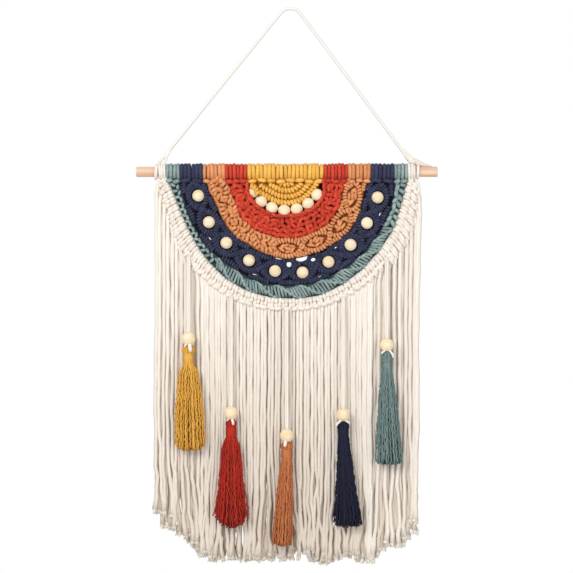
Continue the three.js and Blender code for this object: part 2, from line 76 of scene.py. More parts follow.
# Carrying cords, and cords round an opening. A cord's crest attribute holds how much painted crown light
# it gets; the carrying cords keep little of it, so they are painted dark as shade under the knots
CORE_RADIUS = 2.4
CORE_PITCH = 3.9
CORE_PAINTED_DIM = 0.35
CORE_ENDS = (3.5, 176.5)
CORE_ROOM = 0.5 * CORE_RADIUS
RIM_RADIUS = 1.7
RIM_STEPS = 16
RIM_ROOM = 1.5 * RIM_RADIUS
LEAST_POINTS = 3
FINER = 4

# The three kinds of knot: a wrap round cords, a short bar and a turn round the dowel
CORD_SIDES = 6
WRAP_STEPS = 8
WRAP_SQUARENESS = 0.8
BAR_STEPS = 6
BAR_SIDES = 7
BAR_TIP = 0.62
BAR_ROUNDNESS = 0.6
TURN_STEPS = 16
TURN_SIDES = 8
# Turns round the dowel keep this share of the painted crown light, a slight painted shade
TURN_PAINTED_DIM = 0.94
KNOT_SPREAD = 0.05

# How early the painted shade on the fringe's cords grows on their way down
PAINTED_SHADE_EASE = 0.6


def colour(code: str) -> tuple[float, float, float, float]:
    """Turns a six figure screen colour into Blender's linear colour.

    Args:
        code: the colour as six hexadecimal figures, such as "E0A83A".

    Returns:
        Linear red, green, blue and an alpha of one.
    """
    parts = [int(code[place:place + 2], 16) / 255 for place in (0, 2, 4)]
    linear = [part / 12.92 if part <= 0.04045 else ((part + 0.055) / 1.055) ** 2.4 for part in parts]
    return (*linear, 1.0)


def mix(low: float, high: float, share: float) -> float:
    """The value that lies at a share of the way from low to high."""
    return low + (high - low) * share


def limited(share: float) -> float:
    """A share kept between zero and one."""
    return min(1.0, max(0.0, share))


def turned(degrees: float, axis: str) -> Matrix:
    """A turn by degrees round one axis."""
    return Matrix.Rotation(math.radians(degrees), 4, axis)


def middle_of(node: str) -> Vector:
    """The middle of a CAD node's box, in millimetres."""
    low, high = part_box(node)
    return (Vector(low) + Vector(high)) / 2 / MM


def span_of(node: str) -> tuple[Vector, Vector]:
    """A CAD node's lowest and highest corners, in millimetres."""
    low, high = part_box(node)
    return Vector(low) / MM, Vector(high) / MM


def discard(*meshes: Mesh) -> None:
    """Removes meshes that were only copied from."""
    for mesh in meshes:
        bpy.data.meshes.remove(mesh)


def mesh_of(shape: BMesh, name: str) -> Mesh:
    """Turns a shape into a mesh and frees the shape.

    Args:
        shape: the shape.
        name: the mesh's name.

    Returns:
        The mesh.
    """
    mesh = bpy.data.meshes.new(name)
    shape.to_mesh(mesh)
    shape.free()
    return mesh


def placed(name: str, data: bpy.types.ID) -> Object:
    """Puts a new object with this name and these data in the scene.

    Args:
        name: the object's name.
        data: its mesh, light or camera.

    Returns:
        The object.
    """
    made = bpy.data.objects.new(name, data)
    bpy.context.scene.collection.objects.link(made)
    return made


def settle(shape: BMesh, place: Matrix) -> None:
    """Moves a turned shape to its place, from millimetres to metres, and smooths its sides.

    Args:
        shape: the shape.
        place: its place in millimetres.
    """
    bmesh.ops.transform(shape, matrix=Matrix.Scale(MM, 4) @ place, verts=shape.verts)
    for face in shape.faces:
        face.smooth = len(face.verts) < 5


EDGE_STEP = 15
SIDE_LAP = 6.5
SIDE_LAP_UNTIL = 62
SIDE_LAP_EASE = 26


class Edge(Enum):
    """Radii of the edges between the bands, one for each EDGE_STEP degrees."""

    YELLOW = (44.9, 45.4, 40.9, 39.0, 38.8, 39.0, 39.3, 39.5, 40.0, 39.5, 40.2, 42.8, 43.6)
    BEAD = (45.2, 46.0, 48.5, 50.9, 51.2, 51.0, 50.6, 51.0, 51.2, 51.5, 49.6, 44.4, 43.9)
    RED = (70.9, 67.5, 67.5, 73.3, 75.0, 75.6, 76.8, 76.8, 76.8, 75.6, 72.1, 68.0, 72.0)
    ORANGE = (96.6, 91.9, 90.7, 94.8, 95.6, 98.4, 101.0, 100.2, 100.4, 101.4, 98.3, 94.2, 98.2)
    NAVY = (123.6, 123.3, 124.6, 126.6, 127.4, 131.6, 132.2, 132.6, 130.8, 129.7, 129.1, 128.2, 125.3)
    TEAL = (139.6, 132.0, 131.4, 136.0, 141.9, 146.0, 147.4, 148.6, 145.4, 142.3, 141.0, 139.0, 141.3)
    WHITE = (145.4, 141.8, 144.2, 153.0, 158.8, 161.0, 161.0, 161.7, 160.5, 157.0, 155.2, 152.0, 147.8)

    def radius(self, degrees: float) -> float:
        """Reads the edge off a smooth curve through its rows.

        Args:
            degrees: the place round the disc.

        Returns:
            The edge's distance from the disc's middle.
        """
        rows = self.value
        place = min(max(degrees / EDGE_STEP, 0.0), len(rows) - 1.0)
        row = min(int(place), len(rows) - 2)
        before, low, high, after = (
            rows[min(max(row + step, 0), len(rows) - 1)] for step in (-1, 0, 1, 2)
        )
        t = place - row
        tangents = (high - before) / 2 * t * (1 - t) ** 2 - (after - low) / 2 * t * t * (1 - t)
        return mix(low, high, t * t * (3 - 2 * t)) + tangents


def between(inner: Edge, outer: Edge, share: float, degrees: float) -> float:
    """The radius at a share of the way across a band."""
    return mix(inner.radius(degrees), outer.radius(degrees), share)


def on_disc(degrees: float, radius: float, out: float = 0.0) -> Vector:
    """A point of the disc, `out` millimetres towards the viewer from the dowel's axis."""
    angle = math.radians(degrees)
    return DISC_MIDDLE + Vector((-radius * math.cos(angle), -out, -radius * math.sin(angle)))


def degrees_of(point: Vector) -> float:
    """The place round the disc of a point, in degrees."""
    return math.degrees(math.atan2(DISC_MIDDLE.z - point.z, DISC_MIDDLE.x - point.x))


def radius_of(point: Vector) -> float:
    """The distance of a point from the disc's middle."""
    return math.hypot(DISC_MIDDLE.z - point.z, DISC_MIDDLE.x - point.x)


@dataclass(frozen=True)
class Hole:
    """An opening that shows through the knots, with its size along and across its band."""

    degrees: float
    radius: float
    along: float
    across: float

    def holds(self, point: Vector, spare: float) -> bool:
        """Whether a point lies in the opening or less than `spare` from it."""
        near = math.radians(degrees_of(point) - self.degrees) * self.radius / (self.along / 2 + spare)
        far = (radius_of(point) - self.radius) / (self.across / 2 + spare)
        return near * near + far * far < 1

    def rim(self, spare: float, out: float) -> list[Vector]:
        """Finds points round the opening.

        Args:
            spare: how far outside it they lie.
            out: how far they lie towards the viewer.

        Returns:
            The points, once round.
        """
        points = []
        for turn in (math.tau * step / RIM_STEPS for step in range(RIM_STEPS)):
            shift = (self.along / 2 + spare) * math.cos(turn) / self.radius
            radius = self.radius + (self.across / 2 + spare) * math.sin(turn)
            points.append(on_disc(self.degrees + math.degrees(shift), radius, out))
        return points


HOLES = (
    Hole(41.2, 117.6, 5.0, 1.0),
    Hole(73.0, 124.8, 6.0, 1.0),
    Hole(85.4, 101.2, 9.0, 1.6),
    Hole(91.8, 107.6, 5.6, 6.2),
    Hole(100.1, 102.9, 13.0, 5.4),
    Hole(107.1, 106.8, 5.2, 3.8),
    Hole(107.9, 128.5, 7.0, 1.6),
    Hole(123.2, 104.8, 2.6, 2.2),
    Hole(155.6, 119.6, 4.0, 1.2),
)


def seat(point: Vector, along: Vector, turn: float = 0.0) -> Matrix:
    """Sets up the axes of one knot: X across its row, Y along it and Z towards the viewer.

    Args:
        point: where the knot's middle goes.
        along: the direction of its row.
        turn: degrees by which it is turned in the disc's plane.

    Returns:
        The matrix that puts a knot there.
    """
    forward = Vector((along.x, 0.0, along.z)).normalized()
    across = forward.cross(TOWARDS_VIEWER)
    axes = Matrix((across, forward, TOWARDS_VIEWER)).transposed().to_4x4()
    return Matrix.Translation(point) @ axes @ turned(turn, "Z")


class Trail:
    """A line through points, walked by its length."""

    def __init__(self, points: Points) -> None:
        """Measures the line.

        Args:
            points: the points that it joins.
        """
        self.points = list(points)
        self.marks = [0.0]
        for here, ahead in zip(self.points, self.points[1:]):
            self.marks.append(self.marks[-1] + (ahead - here).length)

    @property
    def length(self) -> float:
        """The length of the whole line."""
        return self.marks[-1]

    def at(self, distance: float) -> tuple[Vector, Vector]:
        """Finds a point of the line.

        Args:
            distance: how far along the line it lies.

        Returns:
            The point, and the line's direction there.
        """
        index = 1
        while index < len(self.marks) - 1 and self.marks[index] < distance:
            index += 1
        here, ahead = self.points[index - 1], self.points[index]
        stretch = self.marks[index] - self.marks[index - 1]
        share = (distance - self.marks[index - 1]) / max(stretch, 1e-6)
        return here.lerp(ahead, share), (ahead - here).normalized()

    def even(self, count: int) -> list[Vector]:
        """Points at equal distances, both ends among them."""
        return [self.at(self.length * index / (count - 1))[0] for index in range(count)]


def arc(radius: Callable[[float], float], start: float, end: float, out: float = 0.0) -> Trail:
    """A line round the disc.

    Args:
        radius: gives the radius at a place in degrees.
        start: where the line starts, in degrees.
        end: where it ends.
        out: how far it lies towards the viewer.

    Returns:
        The line, with a point at about every two degrees.
    """
    steps = max(2, round(abs(end - start) / 2))
    places = [mix(start, end, step / steps) for step in range(steps + 1)]
    return Trail([on_disc(place, radius(place), out) for place in places])


class Shader:
    """Adds and links the nodes of one material."""

    def __init__(self, name: str) -> None:
        """Makes an empty principled material.

        Args:
            name: the material's name.
        """
        self.material = bpy.data.materials.new(name)
        self.material.use_nodes = True
        self.tree = self.material.node_tree
        self.surface = self.tree.nodes["Principled BSDF"]

    def node(self, kind: str, inputs: dict | None = None, **settings: object) -> bpy.types.Node:
        """Adds a node.

        Args:
            kind: its type, without the leading ShaderNode.
            inputs: values or sockets for its inputs, by name or number.
            settings: its own properties.

        Returns:
            The node.
        """
        made = self.tree.nodes.new("ShaderNode" + kind)
        for name, value in settings.items():
            setattr(made, name, value)
        for name, value in (inputs or {}).items():
            self.feed(made.inputs[name], value)
        return made

    def feed(self, socket: NodeSocket, value: object) -> None:
        """Links a socket or sets its value.

        Args:
            socket: the input.
            value: another node's output, or a plain value.
        """
        if isinstance(value, NodeSocket):
            self.tree.links.new(value, socket)
        else:
            socket.default_value = value

    def sum_of(self, operation: str, *values: object) -> NodeSocket:
        """The result of a Math node on its values."""
        return self.node("Math", dict(enumerate(values)), operation=operation).outputs[0]

    def ramp(self, value: object, low: float, high: float) -> NodeSocket:
        """The height of a soft step in a value, from zero at low to one at high."""
        limits = {"Value": value, "From Min": low, "From Max": high}
        return self.node("MapRange", limits, interpolation_type="SMOOTHSTEP").outputs[0]

    def add_spread(self, share: object, pattern: object, size: float) -> NodeSocket:
        """A share with so much of a pattern of about one half, centred on zero, added to it."""
        centred = self.sum_of("SUBTRACT", pattern, 0.5)
        return self.sum_of("MULTIPLY_ADD", centred, size, share)

    def blend(self, share: object, low: object, high: object) -> NodeSocket:
        """A colour between two others.

        Args:
            share: how far from low to high.
            low: the colour at zero.
            high: the colour at one.

        Returns:
            The mixed colour.
        """
        made = self.node("Mix", data_type="RGBA")
        self.feed(made.inputs["Factor"], share)
        self.feed(made.inputs[6], low)
        self.feed(made.inputs[7], high)
        return made.outputs[2]

    def noise(self, vector: object, scale: float, detail: float) -> NodeSocket:
        """A noise pattern on coordinates, about one half on average."""
        made = self.node("TexNoise", {"Scale": scale, "Detail": detail, "Vector": vector})
        return made.outputs[0]

    def bump(self, height: object, strength: float, depth: float) -> None:
        """Raises the surface by a pattern.

        Args:
            height: the pattern.
            strength: how strongly it shades.
            depth: its depth in millimetres.
        """
        values = {"Height": height, "Strength": strength, "Distance": depth * MM}
        self.feed(self.surface.inputs["Normal"], self.node("Bump", values).outputs[0])

    def surface_values(self, values: dict[str, float]) -> None:
        """Sets plain values of the surface, by their names."""
        for name, value in values.items():
            self.surface.inputs[name].default_value = value


@dataclass(frozen=True)
class CordFinish:
    """Soft cotton cord: fibres along it, a gentle ply, painted shade on its sides, and no two cords quite
    alike.

    `light` and `dark` are the tones of its crown, and `deep` is its painted shade, the tone painted where
    cords meet and on their sides. `shade` holds the painted light values between which the tone runs from
    the painted shade to the crown's. The other numbers say how strong, fine, high or uneven each pattern
    is.
    """

    name: str
    light: str
    dark: str
    deep: str
    slot: str
    plies: int = 3
    ply_pitch: float = 1.1
    ply_tone: float = 0.16
    ply_height: float = 0.22
    fibre_tone: float = 1.1
    fibre_height: float = 0.9
    fibre_scale: float = 1.4
    fibres_along: float = 2.4
    fibres_around: float = 14.0
    fibre_shift: float = 60.0
    odd_cords: float = 0.5
    mottle: float = 0.6
    mottle_scale: float = 110.0
    middle_tone: float = 0.55
    shade: Pair = (0.44, 0.94)
    uneven_shade: float = 0.25
    bump_strength: float = 0.55
    bump_depth: float = 0.45
    roughness: float = 0.95
    specular: float = 0.1
    sheen: float = 0.08
    sheen_roughness: float = 0.55

    def material(self) -> bpy.types.Material:
        """Builds the material."""
        shader = Shader(self.name)
        coordinates = shader.node("TexCoord").outputs["Object"]
        island = shader.node("NewGeometry").outputs["Random Per Island"]
        crest = shader.node("Attribute", attribute_name="crest").outputs["Fac"]
        uv = shader.node("UVMap", uv_map="UVMap").outputs[0]
        parts = shader.node("SeparateXYZ", {0: uv})
        along, around = parts.outputs[0], parts.outputs[1]
        turns = shader.sum_of("MULTIPLY_ADD", along, 1 / self.ply_pitch, around)
        ply = shader.sum_of("SINE", shader.sum_of("MULTIPLY", turns, self.plies * math.tau))
        fibre_place = shader.node(
            "CombineXYZ",
            {
                0: shader.sum_of("MULTIPLY", along, self.fibres_along),
                1: shader.sum_of("MULTIPLY", turns, self.fibres_around),
                2: shader.sum_of("MULTIPLY", island, self.fibre_shift),
            },
        )
        fibre = shader.noise(fibre_place.outputs[0], self.fibre_scale, NOISE_DETAIL)
        mottle = shader.noise(coordinates, self.mottle_scale, NOISE_DETAIL)
        share = shader.sum_of("MULTIPLY_ADD", ply, self.ply_tone, self.middle_tone)
        share = shader.add_spread(share, island, self.odd_cords)
        share = shader.add_spread(share, mottle, self.mottle)
        share = shader.add_spread(share, fibre, self.fibre_tone)
        tone = shader.blend(share, colour(self.dark), colour(self.light))
        # Painted shade: the cord's painted crown light, made uneven by the fibres, blends its tone towards
        # the deep painted shade tone
        crown = shader.ramp(shader.add_spread(crest, fibre, self.uneven_shade), *self.shade)
        shader.feed(shader.surface.inputs["Base Color"], shader.blend(crown, colour(self.deep), tone))
        shader.surface_values({
            "Roughness": self.roughness,
            "Specular IOR Level": self.specular,
            "Sheen Weight": self.sheen,
            "Sheen Roughness": self.sheen_roughness,
        })
        ply_rise = shader.sum_of("MULTIPLY", ply, self.ply_height)
        height = shader.sum_of("MULTIPLY_ADD", fibre, self.fibre_height, ply_rise)
        shader.bump(height, self.bump_strength, self.bump_depth)
        return shader.material


@dataclass(frozen=True)
class WoodFinish:
    """Bare sanded wood with its grain along X, its pores finer and its broad tone coarser.

    `stretch` says how much longer than wide the grain is, and `fineness` how much the three
    patterns differ in scale.
    """

    name: str
    light: str
    dark: str
    slot: str
    stretch: float = 14.0
    scale: float = 300.0
    fineness: float = 5.0
    grain_detail: float = 4.0
    pore_detail: float = 2.0
    broad_detail: float = 1.0
    contrast: float = 1.7
    middle_tone: float = 0.55
    roughness: float = 0.6
    specular: float = 0.3
    bump_strength: float = 0.25
    bump_depth: float = 0.15

    def material(self) -> bpy.types.Material:
        """Builds the material."""
        shader = Shader(self.name)
        place = shader.node("TexCoord").outputs["Object"]
        stretched = {"Vector": place, "Scale": (1 / self.stretch, 1.0, 1.0)}
        pulled = shader.node("Mapping", stretched).outputs[0]
        grain = shader.noise(pulled, self.scale, self.grain_detail)
        pores = shader.noise(pulled, self.scale * self.fineness, self.pore_detail)
        broad = shader.noise(pulled, self.scale / self.fineness, self.broad_detail)
        share = shader.add_spread(self.middle_tone, grain, self.contrast)
        share = shader.add_spread(share, pores, self.contrast / 2)
        share = shader.add_spread(share, broad, self.contrast / 2)
        tone = shader.blend(share, colour(self.dark), colour(self.light))
        shader.feed(shader.surface.inputs["Base Color"], tone)
        shader.surface_values({"Roughness": self.roughness, "Specular IOR Level": self.specular})
        shader.bump(shader.sum_of("ADD", grain, pores), self.bump_strength, self.bump_depth)
        return shader.material


class Finish(Enum):
    """The finishes, each with its tones and the record's slot."""

    # The third tone of each cord finish is its painted shade, laid where cords meet and on their sides
    COTTON = CordFinish(
        "cotton_natural", "F5EEE5", "E8DED3", "DACEC0", "cotton",
        ply_tone=0.05, odd_cords=0.7, shade=(0.3, 0.84),
    )
    FRINGE = CordFinish(
        "cotton_fringe", "F6F0E7", "EAE1D6", "CFC0B0", "cotton",
        ply_tone=0.05, odd_cords=0.7, shade=(0.26, 0.84),
    )
    HANGER = CordFinish(
        "cotton_hanger", "F0EEEA", "E4E0DA", "DDD8D0", "cotton", ply_tone=0.2, shade=(0.3, 0.84)
    )
    YELLOW = CordFinish("cotton_yellow", "FBC964", "DDA040", "B0741E", "yellow_cord")
    RED = CordFinish("cotton_red", "E7543C", "AC2E1E", "590D05", "red_cord")
    ORANGE = CordFinish("cotton_orange", "F0A874", "C67C48", "7E431B", "orange_cord")
    NAVY = CordFinish("cotton_navy", "444866", "26293F", "0B0C1A", "navy_cord")
    TEAL = CordFinish("cotton_teal", "A5B8B5", "688080", "21373A", "teal_cord")
    MUSTARD = CordFinish("yarn_mustard", "FFD068", "E29E34", "A66816", "mustard_yarn", fibre_tone=0.8)
    RUST = CordFinish("yarn_rust", "DE402C", "98200F", "560C06", "rust_yarn", fibre_tone=0.8)
    TERRACOTTA = CordFinish(
        "yarn_terracotta", "E6925E", "B06238", "6C3616", "terracotta_yarn", fibre_tone=0.8
    )
    MIDNIGHT = CordFinish("yarn_midnight", "30334E", "151729", "05060F", "midnight_yarn", fibre_tone=0.8)
    SEA = CordFinish("yarn_sea", "9CB2AF", "5C7675", "284040", "sea_yarn", fibre_tone=0.8)
    DOWEL = WoodFinish("wood_dowel", "EED0B5", "D2A685", "wood")
    BEAD = WoodFinish(
        "wood_bead", "FBEED6", "E7C894", "bead_wood",
        stretch=5.0, scale=420.0, contrast=1.5, roughness=0.5,
    )

    def dress(self, piece: Object) -> None:
        """Gives a piece this finish.

        Args:
            piece: the piece.
        """
        known = bpy.data.materials.get(self.value.name)
        piece.data.materials.clear()
        piece.data.materials.append(known or self.value.material())


def ring_seats(path: Points, radii: Sequence[float], closed: bool) -> list[Matrix]:
    """Works out where each ring of a cord goes, without any twist between them.

    Args:
        path: the points along the cord's middle.
        radii: the cord's radius at each of them.
        closed: whether the last point leads back to the first.

    Returns:
        A matrix for each point.
    """
    last = len(path) - 1
    seats: list[Matrix] = []
    turn = None
    before = None
    for index, point in enumerate(path):
        ahead = path[0 if closed and index == last else min(index + 1, last)]
        behind = path[last if closed and index == 0 else max(index - 1, 0)]
        along = (ahead - behind).normalized()
        if turn is None:
            turn = along.to_track_quat("Z", "Y")
        else:
            turn = before.rotation_difference(along) @ turn
        before = along
        size = Matrix.Scale(radii[index], 4)
        seats.append(Matrix.Translation(point) @ turn.to_matrix().to_4x4() @ size)
    return seats


class CordShape:
    """One cord, grown along its path by extruding a circle from point to point."""

    def __init__(self, path: Points, radius: float | Sequence[float], sides: int) -> None:
        """Notes the cord's sizes.

        Args:
            path: the points along its middle.
            radius: its radius, or one for each point.
            sides: how many sides it has.
        """
        self.path = path
        self.sides = sides
        self.radii = [radius] * len(path) if isinstance(radius, (int, float)) else list(radius)
        self.shape = bmesh.new()
        self.turn = self.shape.verts.layers.int.new("turn")
        self.along = self.shape.verts.layers.float.new("along")
        self.crest = self.shape.verts.layers.float.new("crest")

    def grow(self, closed: bool, facing: Vector | None, painted_dim: float) -> Mesh:
        """Grows the cord.

        Args:
            closed: whether it runs back into itself.
            facing: the direction of its painted crown light on both faces, or nothing for away from its
                loop.
            painted_dim: how much of the painted crown light it keeps; less paints shade on the whole cord.

        Returns:
            The mesh, whose UV map runs along the cord in centimetres and once round it, and whose
            crest attribute holds its painted light: full on the crown, less towards the sides as painted
                shade.
        """
        seats = ring_seats(self.path, self.radii, closed)
        middle = sum(self.path, Vector()) / len(self.path)
        ring = bmesh.ops.create_circle(self.shape, segments=self.sides, radius=1.0)["verts"]
        for side, corner in enumerate(ring):
            corner[self.turn] = side
        bmesh.ops.transform(self.shape, matrix=seats[0], verts=ring)
        self.mark(ring, 0, 0.0, facing, middle, painted_dim)
        first = self.shape.edges[:]
        edges = first
        done = 0.0
        for index in range(1, len(seats)):
            done += (self.path[index] - self.path[index - 1]).length
            grown = bmesh.ops.extrude_edge_only(self.shape, edges=edges)["geom"]
            ring = [part for part in grown if isinstance(part, bmesh.types.BMVert)]
            edges = [part for part in grown if isinstance(part, bmesh.types.BMEdge) and part.is_boundary]
            step = seats[index] @ seats[index - 1].inverted()
            bmesh.ops.transform(self.shape, matrix=step, verts=ring)
            self.mark(ring, index, done, facing, middle, painted_dim)
        if closed:
            bmesh.ops.bridge_loops(self.shape, edges=[*first, *edges])
            done += (self.path[0] - self.path[-1]).length
        else:
            bmesh.ops.edgeloop_fill(self.shape, edges=[*first, *edges])
        bmesh.ops.recalc_face_normals(self.shape, faces=self.shape.faces)
        self.unwrap(done)
        return mesh_of(self.shape, "cord")

    def mark(
        self,
        ring: Sequence[bmesh.types.BMVert],
        index: int,
        done: float,
        facing: Vector | None,
        middle: Vector,
        painted_dim: float,
    ) -> None:
        """Writes a ring's place along the cord and its painted light: full on the crown, less towards the
        sides as painted shade.

        Args:
            ring: the ring's corners.
            index: the ring's number.
            done: how far along the cord it lies.
            facing: the direction of the painted crown light, or nothing for away from the loop's middle.
            middle: the loop's middle.
            painted_dim: how much of the painted crown light it keeps; less paints shade on the whole ring.
        """
        centre = self.path[index]
        outwards = facing or (centre - middle).normalized()
        for corner in ring:
            rise = (corner.co - centre).normalized().dot(outwards)
            corner[self.crest] = painted_dim * mix(0.5, 1.0, abs(rise) if facing else rise)
            corner[self.along] = done

    def unwrap(self, total: float) -> None:
        """Turns the helper numbers into a UV map.

        Args:
            total: the cord's whole length.
        """
        uv = self.shape.loops.layers.uv.new("UVMap")
        for face in self.shape.faces:
            face.smooth = True
            turns = [loop.vert[self.turn] for loop in face.loops]
            lengths = [loop.vert[self.along] for loop in face.loops]
            seam = max(turns) - min(turns) > self.sides / 2
            join = max(lengths) - min(lengths) > total / 2
            for loop, side, length in zip(face.loops, turns, lengths):
                side = self.sides if seam and side == 0 else side
                length = total if join and length == 0.0 else length
                loop[uv].uv = (length / CENTIMETRE, side / self.sides)
        self.shape.verts.layers.int.remove(self.shape.verts.layers.int["turn"])
        self.shape.verts.layers.float.remove(self.shape.verts.layers.float["along"])


def cord_mesh(
    path: Points,
    radius: float | Sequence[float],
    sides: int = CORD_SIDES,
    closed: bool = False,
    facing: Vector | None = None,
    painted_dim: float = 1.0,
) -> Mesh:
    """Makes the mesh of one cord.

    Args:
        path: the points along its middle.
        radius: its radius, or one for each point.
        sides: how many sides it has.
        closed: whether it runs back into itself.
        facing: the direction of its crown, or nothing for away from its loop.
        painted_dim: how much of the crown's brightness it keeps.

    Returns:
        The mesh.
    """
    return CordShape(path, radius, sides).grow(closed, facing, painted_dim)


def wrap_knot(across: float, depth: float, radius: float, lean: float) -> Mesh:
    """One turn of cord round the cords that it holds.

    Args:
        across: half its width across the row, out to the cord's middle.
        depth: half its depth.
        radius: the cord's radius.
        lean: how far it leans along the row.

    Returns:
        The mesh of one knot.
    """
    path = []
    for step in range(WRAP_STEPS):
        angle = math.tau * (step + 0.5) / WRAP_STEPS
        side = math.copysign(abs(math.cos(angle)) ** WRAP_SQUARENESS, math.cos(angle))
        path.append(Vector((across * side, lean * math.cos(angle), depth * math.sin(angle))))
    # Its painted crown light faces away from the knot's middle, with painted shade towards the inside
    return cord_mesh(path, radius, closed=True)


def bar_knot(length: float, radius: float, rise: float) -> Mesh:
    """The short bar of a knot that crosses its cords, with both ends tucked in.

    Args:
        length: its length along the row.
        radius: the cord's radius.
        rise: how far its middle stands out.

    Returns:
        The mesh of one knot.
    """
    path = []
    radii = []
    for step in range(BAR_STEPS + 1):
        share = step / BAR_STEPS
        swell = math.sin(math.pi * share)
        path.append(Vector((0.0, (share - 0.5) * length, rise * swell ** BAR_ROUNDNESS - rise)))
        radii.append(radius * mix(BAR_TIP, 1.0, math.sqrt(swell)))
    # Its painted crown light faces out of the row and back, with painted shade on its edges
    return cord_mesh(path, radii, BAR_SIDES, facing=UP)


def wrap_round_dowel(reach: float, radius: float) -> Mesh:
    """One turn of cord round the dowel.

    Args:
        reach: the distance of its middle from the dowel's axis.
        radius: the cord's radius.

    Returns:
        The mesh of one turn.
    """
    angles = [math.tau * step / TURN_STEPS for step in range(TURN_STEPS)]
    path = [Vector((0.0, -reach * math.sin(a), reach * math.cos(a))) for a in angles]
    return cord_mesh(path, radius, TURN_SIDES, closed=True, painted_dim=TURN_PAINTED_DIM)


class Heap:
    """Cords and knots gathered in the mesh of one piece, in millimetres until it is done."""

    def __init__(self, name: str, seed: int) -> None:
        """Starts an empty piece.

        Args:
            name: the piece's name.
            seed: the start of its own run of chance.
        """
        self.name = name
        self.whole = bmesh.new()
        self.dice = random.Random(seed)

    def about(self, spread: float) -> float:
        """A chance number between minus and plus a spread."""
        return self.dice.uniform(-spread, spread)

    def add(self, mesh: Mesh) -> None:
        """Moves a mesh into the piece."""
        self.whole.from_mesh(mesh)
        discard(mesh)

    def cord(
        self,
        path: Points,
        radius: float | Sequence[float],
        sides: int = CORD_SIDES,
        painted_dim: float = 1.0,
    ) -> None:
        """Adds one cord.

        Args:
            path: the points along its middle.
            radius: its radius, or one for each point.
            sides: how many sides it has.
            painted_dim: how much of the painted crown light it keeps; less paints shade on the cord.
        """
        # The painted crown light faces front and back, with painted shade on the cord's sides
        self.add(cord_mesh(path, radius, sides, facing=TOWARDS_VIEWER, painted_dim=painted_dim))

    def knot(self, mesh: Mesh, place: Matrix, loose: float = 4.0) -> None:
        """Adds a copy of a knot, turned and sized a little by chance.

        Args:
            mesh: the knot.
            place: where it goes.
            loose: how many degrees it may be turned either way.
        """
        size = Matrix.Scale(1 + self.about(KNOT_SPREAD), 4)
        copy = mesh.copy()
        copy.transform(place @ turned(self.about(loose), "Z") @ turned(self.about(loose), "Y") @ size)
        self.add(copy)

    def row(
        self,
        trail: Trail,
        mesh: Mesh,
        pitch: float,
        loose: float = 4.0,
        holes: Sequence[Hole] = (),
    ) -> None:
        """Ties a row of knots along a line.

        Args:
            trail: the line.
            mesh: one knot.
            pitch: the distance from knot to knot.
            loose: how many degrees each may be turned either way.
            holes: openings that stay free.
        """
        count = max(1, round(trail.length / pitch))
        for index in range(count):
            point, along = trail.at(trail.length * (index + 0.5) / count)
            if not any(hole.holds(point, RIM_ROOM) for hole in holes):
                self.knot(mesh, seat(point, along), loose)

    def rims(self, inner: Edge, outer: Edge, out: float, holes: Sequence[Hole], painted_dim: float) -> None:
        """Lays a cord round each opening, as far as it lies in a band.

        Args:
            inner: the band's inner edge.
            outer: its outer edge.
            out: how far the cords lie towards the viewer.
            holes: the openings.
            painted_dim: how much of the painted crown light the cords keep; less paints shade on them.
        """
        for hole in holes:
            points = hole.rim(RIM_RADIUS, out)
            inside = [
                inner.radius(degrees_of(point)) < radius_of(point) < outer.radius(degrees_of(point))
                for point in points
            ]
            if all(inside):
                ring = cord_mesh(points, RIM_RADIUS, closed=True, facing=TOWARDS_VIEWER, painted_dim=painted_dim)
                self.add(ring)
                continue
            start = inside.index(False)
            around = list(zip(points, inside))
            stretch = [point for point, kept in around[start:] + around[:start] if kept]
            if len(stretch) >= LEAST_POINTS:
                self.cord(stretch, RIM_RADIUS, painted_dim=painted_dim)

    def cores(
        self,
        inner: Edge,
        outer: Edge,
        out: float,
        ends: Pair = CORE_ENDS,
        holes: Sequence[Hole] = (),
        painted_dim: float = CORE_PAINTED_DIM,
    ) -> None:
        """Lays the carrying cords that run round a band under its knots, by default painted dark as shade.

        Args:
            inner: the band's inner edge.
            outer: its outer edge.
            out: how far they lie towards the viewer.
            ends: where they start and end, in degrees.
            holes: openings that stay free.
            painted_dim: how much of the painted crown light they keep; less paints shade on them.
        """
        widest = max(b - a for a, b in zip(inner.value, outer.value))
        count = math.ceil(widest / CORE_PITCH)
        for index in range(count):
            share = (index + 0.5) / count
            trail = arc(lambda place: between(inner, outer, share, place), *ends, out)
            for stretch in clear_stretches(trail.points, holes):
                self.cord(stretch, CORE_RADIUS, painted_dim=painted_dim)

    def paint_shade_downwards(
        self, heights: Pair, powers: Pair, least: float
    ) -> None:
        """Paints shade on the cords from one height down to another, their sides more than their crowns.

        Args:
            heights: where it starts and where it is complete.
            powers: the powers to which each corner's painted light is raised at those heights, darkening
                the sides most.
            least: how much of a crown's painted light is left at the lower one.
        """
        top, bottom = heights
        crest = self.whole.verts.layers.float["crest"]
        for vert in self.whole.verts:
            share = limited((top - vert.co.z) / (top - bottom))
            kept = mix(1.0, least, share ** PAINTED_SHADE_EASE)
            vert[crest] = kept * vert[crest] ** mix(*powers, share)

    def piece(self, finish: Finish, *nodes: str) -> Object:
        """Turns the gathered mesh into a finished piece that stands for CAD nodes."""
        bmesh.ops.transform(self.whole, matrix=Matrix.Scale(MM, 4), verts=self.whole.verts)
        return finished(self.whole, self.name, finish, *nodes)


def clear_stretches(points: Points, holes: Sequence[Hole]) -> list[list[Vector]]:
    """Cuts a line wherever it would cross an opening.

    Args:
        points: the line's points.
        holes: the openings.

    Returns:
        The stretches of at least LEAST_POINTS points that are left.
    """
    if not holes:
        return [list(points)]
    stretches: list[list[Vector]] = [[]]
    for point in Trail(points).even(FINER * len(points)):
        if any(hole.holds(point, CORE_ROOM) for hole in holes):
            stretches.append([])
        else:
            stretches[-1].append(point)
    return [stretch for stretch in stretches if len(stretch) >= LEAST_POINTS]


